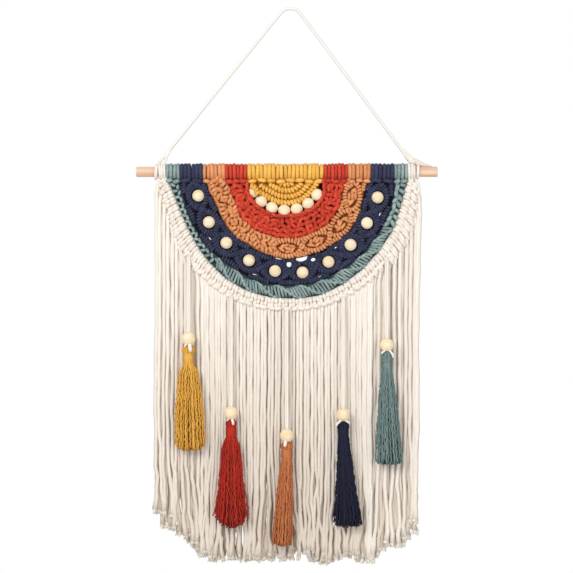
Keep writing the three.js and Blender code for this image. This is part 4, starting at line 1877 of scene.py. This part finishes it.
@dataclass
class Fringe:
    """Long cotton cords in pairs, in layers at the sides, with frayed ends.

    `layers` is how far back each layer behind the front one lies, and its pitch. Further out than
    `steep` from the middle the front cords lie `row_depth` behind each other by turns. `waves` is
    the sizes and the lengths of the two waves in a cord, and `flares` how its last points widen.
    """

    pitch: float = 4.15
    radius: float = 2.27
    sizes: Pair = (0.9, 1.08)
    steep: float = 100.0
    halves: Pair = (155.0, 152.4)
    split: float = 87.1
    first: float = 4.0
    widest: float = 146.4
    opening: float = 2.4
    lean: float = 0.32
    shift: float = 0.3
    uneven: float = 0.4
    row_depth: float = 2.9
    layers: tuple[Pair, ...] = ((3.0, 3.8), (5.8, 4.6))
    layer_inset: float = 4.0
    layer_uneven: float = 1.2
    layer_shift: float = 0.8
    behind: float = -2.0
    # Cords of the back layers keep this share of the painted crown light, painted shade
    behind_painted_dim: float = 0.76
    bars_from: float = 38.0
    bar_pitch: float = 8.8
    bar_shift: float = 0.14
    bar_inset: float = 1.8
    bar_out: float = 3.8
    steps: int = 30
    halvings: int = 24
    tufts: int = 8
    root_room: float = 4.5
    lip_room: float = 0.4
    hem_room: float = 4.4
    ragged: float = 4.0
    lap_share: float = 0.75
    waves: tuple[tuple[Pair, Pair], ...] = (
        ((0.2, 0.6), (44.0, 84.0)),
        ((0.12, 0.36), (18.0, 32.0)),
    )
    loose_length: float = 120.0
    pull_in: float = 3.5
    pull_length: float = 180.0
    flares: tuple[float, ...] = (1.04, 1.1, 1.2, 1.35)
    # Painted shade on the cords, growing from the upper height down to the lower: its powers and the crown
    # light each length keeps
    shade_heights: Pair = (-290.0, -620.0)
    shade_powers: Pair = (0.52, 1.2)
    shade_least: Three = (0.61, 0.55, 0.74)

    def build(self) -> list[Object]:
        """Hangs the three lengths of fringe."""
        parts = ("fringe_left", "fringe_middle", "fringe_right")
        heaps = {node: Heap(node + "_cords", 71 + number) for number, node in enumerate(parts)}
        self.dice = random.Random(7)
        tufts = [tuft_mesh(seed) for seed in range(self.tufts)]
        for root, across, out in self.roots():
            heap = heaps[self.part(across)]
            path = self.path(root, across, out)
            # Cords of the back layers get painted shade
            painted_dim = 1.0 if out > self.behind else self.behind_painted_dim
            heap.cord(path, self.radii(), painted_dim=painted_dim)
            self.fray(heap, path, self.dice.choice(tufts))
        self.bars(heaps)
        discard(*tufts)
        # Paints shade on each length's cords towards the hem
        for heap, least in zip(heaps.values(), self.shade_least):
            heap.paint_shade_downwards(self.shade_heights, self.shade_powers, least)
        return [heap.piece(Finish.FRINGE, node) for node, heap in heaps.items()]

    def bars(self, heaps: dict[str, Heap]) -> None:
        """Ties the bar that closes each pair of ribs.

        Args:
            heaps: the three lengths, by node.
        """
        bar = bar_knot(length=7.2, radius=2.7, rise=2.8)
        edge = arc(
            lambda place: Edge.WHITE.radius(place) - self.bar_inset,
            self.bars_from,
            180 - self.bars_from,
            self.bar_out,
        )
        count = round(edge.length / self.bar_pitch)
        for index in range(count):
            shift = self.dice.uniform(-self.bar_shift, self.bar_shift)
            point, along = edge.at(edge.length * (index + 0.5 + shift) / count)
            heap = heaps[self.part(point.x - DOWEL_MIDDLE.x)]
            ahead = Vector((along.x, 0.0, along.z * 0.5))
            heap.knot(bar, seat(point, ahead, heap.about(16)), loose=6)
        discard(bar)

    def part(self, across: float) -> str:
        """The node that a cord belongs to, by its place from the dowel's middle."""
        if abs(across) < self.split:
            return "fringe_middle"
        return "fringe_left" if across < 0 else "fringe_right"

    def roots(self) -> list[Three]:
        """Works out where the cords leave the edge and where they hang.

        Returns:
            For each cord the degrees of its root, its place across and how far out it hangs.
        """
        edge = arc(Edge.WHITE.radius, self.first, 180 - self.first)
        count = round(edge.length / self.pitch)
        rows = []
        for index in range(count):
            point, _ = edge.at(edge.length * (index + 0.5) / count)
            pair = self.lean if index % 2 else -self.lean
            across = self.hang_place(point.x - DOWEL_MIDDLE.x) - pair
            if abs(across) > self.steep:
                out = -self.row_depth * (index % 3)
            else:
                out = self.dice.uniform(-self.uneven, self.uneven)
            rows.append((degrees_of(point), across + self.dice.uniform(-self.shift, self.shift), out))
        low, high = self.layer_inset - self.halves[0], self.halves[1] - self.layer_inset
        for back, pitch in self.layers:
            count = round((high - low) / pitch)
            for index in range(count):
                across = mix(low, high, (index + 0.5) / count)
                place = degrees_of(self.edge_point(across))
                out = -back - self.dice.uniform(0.0, self.layer_uneven)
                across += self.dice.uniform(-self.layer_shift, self.layer_shift)
                rows.append((place, across, out))
        return rows

    def half(self, across: float) -> float:
        """Half the fringe's width on the side of a place across."""
        return self.halves[0 if across < 0 else 1]

    def hang_place(self, across: float) -> float:
        """Finds where a cord hangs: further out than its place on the edge near the widest places.

        Args:
            across: its place on the edge, from the dowel's middle.

        Returns:
            The place where it hangs.
        """
        top_place = self.first if across < 0 else 180 - self.first
        top = abs(on_disc(top_place, self.widest).x - DOWEL_MIDDLE.x)
        share = limited((abs(across) - self.steep) / (top - self.steep))
        return across + math.copysign((self.half(across) - top) * share ** self.opening, across)

    def edge_point(self, across: float) -> Vector:
        """Finds the point of the edge that a hanging place belongs to, by halving.

        Args:
            across: the hanging place, from the dowel's middle.

        Returns:
            The point on the white edge.
        """
        low, high = self.first, 180 - self.first
        for _ in range(self.halvings):
            middle = (low + high) / 2
            point = on_disc(middle, Edge.WHITE.radius(middle))
            if self.hang_place(point.x - DOWEL_MIDDLE.x) < across:
                low = middle
            else:
                high = middle
        return on_disc(low, Edge.WHITE.radius(low))

    def path(self, root: float, across: float, out: float) -> list[Vector]:
        """Lets one cord hang from its root to the hem.

        Args:
            root: its root, in degrees.
            across: where it hangs, from the dowel's middle.
            out: how far it hangs towards the viewer.

        Returns:
            The points along it.
        """
        dice = self.dice
        edge = Edge.WHITE.radius(root)
        lap = self.lap_share * side_lap(root)
        start = on_disc(root, edge - self.root_room + lap, out * 0.3)
        lip = on_disc(root, edge - self.lip_room + lap, out * 0.6 + 1.0)
        hang_x = DOWEL_MIDDLE.x + across
        ragged = abs(dice.gauss(0, self.ragged))
        ragged += 2.0 * math.sin(hang_x / 8) + 1.6 * math.sin(hang_x / 3.7 + 1)
        end_z = hem_height(hang_x) + self.hem_room + ragged
        sweep = min(24.0, 6 + abs(hang_x - lip.x) * 2.0)
        waves = [
            (dice.uniform(*sizes), dice.uniform(*lengths), dice.uniform(0, math.tau))
            for sizes, lengths in self.waves
        ]
        stray = dice.gauss(0, self.ragged) + 4.2 * math.sin(hang_x / 10 + 1.0)
        stray *= min(1.0, max(0.0, self.half(across) - abs(across)) / 12 + 0.15)
        points = [start, lip]
        for step in range(1, self.steps + 1):
            share = step / self.steps
            z = mix(lip.z, end_z, share)
            fallen = min(1.0, (lip.z - z) / sweep)
            ease = 1 - (1 - fallen) ** 2
            x = mix(lip.x, hang_x, ease) + self.sway(hang_x, z) * share * ease
            pulled = max(0.0, across / self.halves[1]) ** 4
            x -= self.pull_in * pulled * min(1.0, (lip.z - z) / self.pull_length)
            loose = max(0.0, 1 - (z - end_z) / self.loose_length)
            opening = 0.5 + 0.5 * share + 2.0 * loose
            for size, length, phase in waves:
                x += size * opening * math.sin(z * math.tau / length + phase) * ease
            x += stray * loose ** 1.4
            y = mix(lip.y, -out, ease) + 0.5 * math.sin(z / 9 + waves[0][2]) * ease
            points.append(Vector((x, y, z)))
        return points

    def sway(self, x: float, z: float) -> float:
        """A slow swing that neighbouring cords share."""
        return 1.1 * math.sin(x / 19 + z / 37) + 0.8 * math.sin(x / 31 - z / 53 + 2)

    def radii(self) -> list[float]:
        """Works out the radius along a cord.

        Returns:
            A radius for each point, slightly uneven and wider where the plies open at the end.
        """
        base = self.radius * self.dice.uniform(*self.sizes)
        phase = self.dice.uniform(0, math.tau)
        along = [base * (1 + 0.06 * math.sin(step * 1.3 + phase)) for step in range(self.steps + 2)]
        for place, flare in enumerate(self.flares, -len(self.flares)):
            along[place] *= flare
        return along

    def fray(self, heap: Heap, path: Points, tuft: Mesh) -> None:
        """Puts loose fibres on the end of a cord.

        Args:
            heap: its piece.
            path: the cord's points.
            tuft: a bunch of fibres.
        """
        down = (path[-1] - path[-2]).normalized()
        turn = down.to_track_quat("Z", "Y").to_matrix().to_4x4()
        spin = turned(heap.dice.uniform(0, 360), "Z")
        heap.knot(tuft, Matrix.Translation(path[-1]) @ turn @ spin, 0.0)


@dataclass(frozen=True)
class HemPoint:
    """A point of the fringe's lower edge."""

    across: float
    height: float


HEM = (
    HemPoint(-164.0, -583.0),
    HemPoint(-147.0, -587.0),
    HemPoint(-141.0, -607.0),
    HemPoint(-120.0, -622.0),
    HemPoint(-101.0, -637.0),
    HemPoint(-83.0, -643.0),
    HemPoint(-60.0, -640.0),
    HemPoint(-34.0, -644.0),
    HemPoint(10.0, -636.0),
    HemPoint(46.0, -646.0),
    HemPoint(64.0, -637.0),
    HemPoint(100.0, -643.0),
    HemPoint(110.0, -630.0),
    HemPoint(123.0, -628.0),
    HemPoint(137.0, -614.0),
    HemPoint(142.0, -599.0),
    HemPoint(156.0, -596.0),
)


def hem_height(across: float) -> float:
    """Finds the height of the fringe's lower edge.

    Args:
        across: the place across, in millimetres.

    Returns:
        The height there.
    """
    ahead = next((row for row in range(1, len(HEM)) if HEM[row].across >= across), len(HEM) - 1)
    low, high = HEM[ahead - 1], HEM[ahead]
    share = (across - low.across) / (high.across - low.across)
    return mix(low.height, high.height, limited(share))


def tuft_mesh(seed: int) -> Mesh:
    """A bunch of loose fibres that spread from a cord's end.

    Args:
        seed: picks how they fall.

    Returns:
        The mesh of the bunch, which grows along Z.
    """
    dice = random.Random(seed)
    whole = bmesh.new()
    for _ in range(10):
        angle = dice.uniform(0, math.tau)
        start = dice.uniform(0.2, 1.6)
        spread = start + dice.uniform(0.0, 1.9)
        length = dice.uniform(1.8, 5.4)
        side = Vector((math.cos(angle), math.sin(angle), 0.0))
        path = [
            side * start - Vector((0, 0, 1.5)),
            side * mix(start, spread, 0.5) + Vector((0, 0, length * 0.5)),
            side * spread + Vector((0, 0, length)),
        ]
        strand = cord_mesh(path, (1.25, 1.1, 0.45), 5, facing=Vector((0, 0, 1)))
        whole.from_mesh(strand)
        discard(strand)
    # Every fibre gets the full painted crown light, with no painted shade
    crest = whole.verts.layers.float["crest"]
    for vert in whole.verts:
        vert[crest] = 1.0
    return mesh_of(whole, "tuft")


class Loop(Enum):
    """How a tassel's white cord shows under its bead: legs as (side, reach, drop, radius)."""

    RIGHT = ((0.22, 0.1, 7.5, 2.2), (-0.4, 0.1, 2.0, 1.3))
    SMALL_RIGHT = ((0.2, 0.2, 6.0, 1.6), (-0.5, 0.2, 1.5, 1.0))
    LEFT = ((-0.22, 0.05, 5.0, 2.1),)
    SPREAD = ((-0.5, 0.6, 5.5, 1.4), (0.5, 0.5, 3.0, 1.2))
    WIDE = ((0.5, 0.5, 7.5, 1.4), (-0.45, 0.4, 3.0, 1.3))


SKIRT_PLACES = (0.0, 0.12, 0.35, 0.7, 1.0)
SKIRT_ROOM = 0.8


@dataclass
class Tassel:
    """A yarn tassel: folded head, bound neck and loose crinkled threads, under its bead.

    `skirt` is half its width at the places below the neck, and `neck_shares` is how close the
    threads lie at the top and the bottom of the neck.
    """

    number: int
    finish: Finish
    loop: Loop
    head_radius: float
    knob: float
    neck_radius: float
    neck: float
    lean: float
    skirt: tuple[float, float, float, float]
    rounding: float = 2.0
    threads: int = 140
    thread_radius: float = 0.76
    thread_sides: int = 4
    # The innermost threads keep this share of the painted crown light, painted shade inside the tassel
    thread_painted_dim: float = 0.55
    crinkle: float = 0.85
    steps: int = 40
    flatness: float = 0.8
    neck_shares: Pair = (0.86, 0.92)
    bottom_room: float = 1.0
    ragged: float = 3.6
    drift: float = 0.9
    bind_pitch: float = 1.25
    bind_radius: float = 0.75
    bind_steps: int = 14
    # The neck's turns keep this share of the painted crown light, a slight painted shade
    bind_painted_dim: float = 0.95
    cord_radius: float = 1.25
    cord_apart: float = 1.05
    cord_steps: int = 14
    leg_sizes: tuple[float, ...] = (0.8, 0.9, 1.0, 1.0, 1.0, 1.0, 0.9, 0.6)
    leg_sides: int = 7

    def build(self) -> list[Object]:
        """Makes the tassel and the white cord that carries it."""
        self.low, self.high = span_of(f"tassel_{self.number}")
        self.bead = middle_of(f"tassel_bead_{self.number}")
        self.top = Vector((self.bead.x, self.bead.y, self.high.z))
        return [self.yarn(), self.carrier()]

    def yarn(self) -> Object:
        """Makes the coloured yarn."""
        heap = Heap(f"tassel_{self.number}_yarn", 80 + self.number)
        golden = math.pi * (3 - math.sqrt(5))
        for index in range(self.threads):
            reach = math.sqrt((index + 0.5) / self.threads)
            path = self.thread(heap, reach, index * golden)
            # Painted shade: the inner threads are darker, the outer ones keep the full painted crown light
            painted_dim = mix(self.thread_painted_dim, 1.0, reach ** 2)
            heap.cord(path, self.thread_radius, self.thread_sides, painted_dim)
        self.bind(heap)
        return heap.piece(self.finish, f"tassel_{self.number}")

    def width_at(self, share: float) -> float:
        """Finds half the width that the outermost threads reach.

        Args:
            share: the place, as a share of the skirt's length.

        Returns:
            Half the skirt's width there, less a thread.
        """
        halves = (self.neck_radius, *self.skirt)
        row = max(n for n in range(len(halves) - 1) if SKIRT_PLACES[n] <= share)
        low, high = SKIRT_PLACES[row], SKIRT_PLACES[row + 1]
        return mix(halves[row], halves[row + 1], (share - low) / (high - low)) - SKIRT_ROOM

    def thread(self, heap: Heap, reach: float, angle: float) -> list[Vector]:
        """Leads one thread over the head, through the neck and down.

        Args:
            heap: its piece.
            reach: its share of the tassel's width, from the middle outwards.
            angle: where it lies round the tassel.

        Returns:
            The points along it.
        """
        side = Vector((math.cos(angle), math.sin(angle), 0.0))
        depth = Vector((1.0, self.flatness, 1.0))
        points = [self.top + side * 1.2]
        for drop, share in ((1.0, 0.6), (self.knob * 0.35, 0.97), (self.knob * 0.7, 1.0)):
            points.append(self.top + side * depth * self.head_radius * share * reach - UP * drop)
        neck_top = self.top - UP * self.knob
        neck_end = neck_top - UP * self.neck
        for middle, share in zip((neck_top, neck_end), self.neck_shares):
            points.append(middle + side * depth * self.neck_radius * share * reach)
        end_z = self.low.z + self.bottom_room + abs(heap.dice.gauss(0, self.ragged))
        end_z += self.rounding * (side.x * reach) ** 2
        tail = self.bead.x + self.lean
        deep = (self.high.y - self.low.y) / 2 / self.skirt[-1]
        drift = heap.dice.gauss(0, self.drift)
        for step in range(1, self.steps + 1):
            share = step / self.steps
            width = self.width_at(share) * reach
            flat = mix(self.flatness, deep, min(1.0, share * 3))
            x = mix(self.bead.x, tail, share) + side.x * width + drift * share
            y = self.bead.y + side.y * width * flat
            size = self.crinkle * min(1.0, 0.3 + share * 5)
            z = mix(neck_end.z, end_z, share)
            points.append(Vector((x + heap.about(size), y + heap.about(size * 0.6), z)))
        return points

    def bind(self, heap: Heap) -> None:
        """Winds the neck with close turns of the same yarn.

        Args:
            heap: its piece.
        """
        steps = self.bind_steps
        turns = round(self.neck / self.bind_pitch)
        neck_top = self.top - UP * (self.knob - 0.6)
        path = []
        for step in range(turns * steps + 1):
            angle = math.tau * step / steps
            share = step / (turns * steps)
            radius = self.neck_radius * (1.0 if share > 0.12 else 0.9)
            side = Vector((math.cos(angle) * radius, math.sin(angle) * radius * self.flatness, 0.0))
            path.append(neck_top + side - UP * self.neck * share)
        heap.cord(path, self.bind_radius, sides=5, painted_dim=self.bind_painted_dim)

    def carrier(self) -> Object:
        """Leads the white cord from the knots through the bead and round the tassel's head."""
        heap = Heap(f"tassel_{self.number}_carrier", 90 + self.number)
        node = f"tassel_cord_{self.number}"
        low, high = span_of(node)
        start = Vector((self.bead.x, high.y - 3.0, high.z))
        middle = Vector((self.bead.x, mix(start.y, self.bead.y, 0.7), mix(high.z, low.z, 0.4)))
        for side in (-1, 1):
            across = Vector((side * self.cord_apart, 0.0, 0.0))
            path = [start + across, middle + across, self.bead + across + UP * 12]
            path += [self.bead + across * 0.7 + UP * 6, self.bead + across * 0.7 - UP * 6]
            heap.cord(Trail(path).even(self.cord_steps), self.cord_radius)
        front = self.head_radius * self.flatness
        for side, reach, drop, radius in self.loop.value:
            end = side + math.copysign(reach, side)
            leg = [
                self.bead + Vector((side * 2.0, -1.8, -5.6)),
                self.top + Vector((side * self.head_radius, -front * 0.75, 0.6)),
                self.top + Vector((end * self.head_radius, -front - 0.6, -drop * 0.55)),
                self.top + Vector((end * self.head_radius * 1.05, -front, -drop)),
            ]
            sizes = [radius * size for size in self.leg_sizes]
            heap.cord(Trail(leg).even(len(sizes)), sizes, self.leg_sides)
        return heap.piece(Finish.COTTON, node)


@dataclass
class Hanger:
    """The thin cord that carries the dowel, over its nail, and its ties.

    `tail` is the free end at the right, opened out to a cone: places across, back and above the
    dowel's middle, with a radius for each. `tail_end` is its tip, across from the tie's right edge.
    """

    radius: float = 1.8
    turn_radius: float = 1.75
    left_leg: tuple[Three, ...] = (
        (-147.6, -1.5, -179.5),
        (-146.6, -1.2, -176.0),
        (-144.6, -0.9, -170.6),
        (-138.6, -0.4, -160.4),
    )
    right_leg: tuple[Three, ...] = (
        (144.0, -1.0, -178.2),
        (141.4, -1.0, -173.4),
        (136.0, -0.8, -167.4),
        (127.2, -0.4, -158.4),
    )
    leg_sizes: tuple[float, ...] = (1.4, 1.4, 1.4, 1.4, 1.4, 1.35, 1.25, 1.1, 0.9, 0.5)
    tail: tuple[tuple[float, float, float, float], ...] = (
        (136.6, 0.2, 21.0, 1.2),
        (139.0, 0.4, 18.0, 2.4),
        (142.0, 0.9, 15.2, 3.4),
        (146.0, 1.7, 12.7, 3.9),
        (150.5, 2.7, 10.8, 3.9),
        (155.0, 3.8, 9.3, 3.4),
        (159.5, 4.9, 8.0, 2.6),
        (164.0, 5.9, 7.0, 1.8),
    )
    tail_end: tuple[float, float, float, float] = (1.0, 7.2, 5.8, 0.7)
    route: tuple[Pair, ...] = (
        (-153.3, -177.8), (-152.9, -176.0), (-150.4, -173.4), (-140.0, -161.2), (-116.0, -131.6),
        (-92.0, -101.9), (-68.0, -72.3), (-44.0, -42.7), (-22.0, -15.6), (-10.5, -1.8),
        (-7.2, 1.0), (-3.7, 1.7), (0.0, 1.8), (3.2, 1.6), (6.0, 0.6), (8.6, -1.6), (22.0, -18.8),
        (44.0, -48.5), (68.0, -80.8), (92.0, -113.2), (116.0, -145.5), (130.0, -164.4),
        (136.8, -173.6), (138.5, -176.0), (138.8, -177.8),
    )

    def build(self) -> list[Object]:
        """Makes the cord and its two ties."""
        return [self.cord(), self.left_tie(), self.right_tie()]

    def cord(self) -> Object:
        heap = Heap("hanger_cord_twisted", 5)
        trail = Trail([Vector((x, 0.0, z)) for x, z in self.route])
        path = trail.even(150)
        path[0], path[-1] = trail.points[0], trail.points[-1]
        heap.cord(path, self.radius, 10)
        made = heap.piece(Finish.HANGER, "hanger_cord")
        LOG.info("hanger cord: %.0f mm long", trail.length)
        return made

    def turns(self, heap: Heap, low: float, widths: Sequence[Three]) -> None:
        """Winds turns of cord round the dowel.

        Args:
            heap: their piece.
            low: where the first one starts, across.
            widths: for each turn its place from there, its half width and its lean.
        """
        turn = wrap_round_dowel(DOWEL_RADIUS + self.radius, self.turn_radius)
        for offset, half, lean in widths:
            place = Matrix.Translation((low + offset, 0.0, DOWEL_MIDDLE.z))
            wide = Matrix.Diagonal((half / self.turn_radius, 1, 1, 1))
            heap.knot(turn, place @ turned(lean, "Y") @ wide, loose=0.0)
        discard(turn)

    def left_tie(self) -> Object:
        """Winds the left tie, with the cord's second leg beside the first."""
        low, _ = span_of("hanger_wrap_left")
        heap = Heap("hanger_tie_left", 95)
        self.turns(heap, low.x, ((1.7, 1.95, 3.0), (6.0, 1.7, -4.0)))
        self.leg(heap, self.left_leg)
        return heap.piece(Finish.COTTON, "hanger_wrap_left")

    def leg(self, heap: Heap, places: Sequence[Three]) -> None:
        """Leads the cord's second leg, which thins out where it ends."""
        path = Trail([Vector(place) for place in places]).even(len(self.leg_sizes))
        heap.cord(path, self.leg_sizes, sides=8)

    def right_tie(self) -> Object:
        """Winds the right tie, with the cord's second leg and its free tail."""
        low, high = span_of("hanger_wrap_right")
        heap = Heap("hanger_tie_right", 96)
        self.turns(heap, low.x, ((0.2, 1.7, -3.0), (4.7, 1.9, 3.0)))
        self.leg(heap, self.right_leg)
        tail = [DOWEL_MIDDLE + Vector((across, back, rise)) for across, back, rise, _ in self.tail]
        past, back, rise, thin = self.tail_end
        tail.append(Vector((high.x + past, back, DOWEL_MIDDLE.z + rise)))
        heap.cord(tail, [*(size for *_, size in self.tail), thin], sides=10)
        return heap.piece(Finish.COTTON, "hanger_wrap_right")


@dataclass
class Studio:
    """Camera, soft lights, white surround and a pale floor."""

    distance: float = 2.5
    frame_width: float = 0.6664
    aim: Vector = field(default_factory=lambda: Vector((-0.0053, 0.0, -0.3213)))
    floor_drop: float = 1.5
    ambient: float = 0.58

    def camera(self) -> None:
        """Looks straight at the hanging from the front, as the photograph does."""
        data = bpy.data.cameras.new("front_camera")
        data.sensor_width = 36.0
        data.lens = data.sensor_width * self.distance / self.frame_width
        data.dof.use_dof = False
        made = placed("front_camera", data)
        made.location = self.aim + Vector((0.0, -self.distance, 0.0))
        made.rotation_euler = (math.pi / 2, 0.0, 0.0)
        bpy.context.scene.camera = made

    def light(self, name: str, place: Sequence[float], size: float, watts: float) -> None:
        """Hangs one soft light that faces the hanging.

        Args:
            name: its name.
            place: where it hangs, in metres.
            size: the side of its square.
            watts: its power.
        """
        data = bpy.data.lights.new(name, "AREA")
        data.size = size
        data.energy = watts
        made = placed(name, data)
        made.location = place
        made.rotation_euler = (self.aim - Vector(place)).to_track_quat("-Z", "Y").to_euler()

    def surround(self) -> None:
        """Makes the white surround, dimmer as a light than it looks."""
        world = bpy.data.worlds.new("white_surround")
        world.use_nodes = True
        tree = world.node_tree
        seen = tree.nodes["Background"]
        seen.inputs["Color"].default_value = (1, 1, 1, 1)
        seen.inputs["Strength"].default_value = 1.0
        lit = tree.nodes.new("ShaderNodeBackground")
        lit.inputs["Color"].default_value = (1.0, 0.985, 0.965, 1)
        lit.inputs["Strength"].default_value = self.ambient
        choice = tree.nodes.new("ShaderNodeMixShader")
        tree.links.new(tree.nodes.new("ShaderNodeLightPath").outputs["Is Camera Ray"], choice.inputs[0])
        tree.links.new(lit.outputs[0], choice.inputs[1])
        tree.links.new(seen.outputs[0], choice.inputs[2])
        tree.links.new(choice.outputs[0], tree.nodes["World Output"].inputs[0])
        bpy.context.scene.world = world

    def floor(self) -> None:
        """Lays the pale floor, well below the hanging."""
        shape = bmesh.new()
        bmesh.ops.create_grid(shape, x_segments=1, y_segments=1, size=6.0)
        bmesh.ops.translate(shape, vec=(0, 0, -self.floor_drop), verts=shape.verts)
        mesh = mesh_of(shape, "pale_floor")
        shader = Shader("pale_floor")
        shader.surface.inputs["Base Color"].default_value = (0.8, 0.8, 0.79, 1)
        shader.surface.inputs["Roughness"].default_value = 0.9
        mesh.materials.append(shader.material)
        placed("pale_floor", mesh)

    def build(self) -> None:
        """Sets up the studio."""
        self.camera()
        self.surround()
        self.floor()
        self.light("key_light", (-1.3, -2.2, 1.1), 1.2, 46)
        self.light("fill_light", (1.6, -2.0, -0.4), 1.6, 16)
        bpy.context.scene.view_settings.view_transform = "Standard"


TASSELS = (
    Tassel(1, Finish.MUSTARD, Loop.RIGHT, 7.5, 10.2, 6.1, 10.0, 1.8, (12.0, 15.4, 18.2, 19.2), 5.0),
    Tassel(2, Finish.RUST, Loop.SMALL_RIGHT, 6.2, 8.5, 5.8, 10.2, 0.4, (11.0, 13.4, 16.0, 21.6), 12.0),
    Tassel(3, Finish.TERRACOTTA, Loop.LEFT, 7.1, 9.3, 6.2, 9.0, -4.7, (7.8, 9.4, 10.9, 11.8)),
    Tassel(4, Finish.MIDNIGHT, Loop.SPREAD, 6.8, 10.7, 6.2, 3.0, 5.6, (7.4, 9.6, 13.0, 17.8)),
    Tassel(5, Finish.SEA, Loop.WIDE, 6.8, 13.4, 5.7, 5.6, 2.8, (7.5, 11.4, 14.1, 16.4)),
)


def main() -> None:
    """Builds the studio and every sub-assembly in order."""
    logging.basicConfig(level=logging.INFO, format="%(name)s: %(message)s")
    Studio().build()
    Hanger().build()
    DowelRod().build()
    Beads().build()
    YellowFan().build()
    RedBand().build()
    OrangeBand().build()
    NavyBand().build()
    TealBand().build()
    WhiteBand().build()
    Fringe().build()
    for tassel in TASSELS:
        tassel.build()


if __name__ == "__main__":
    main()
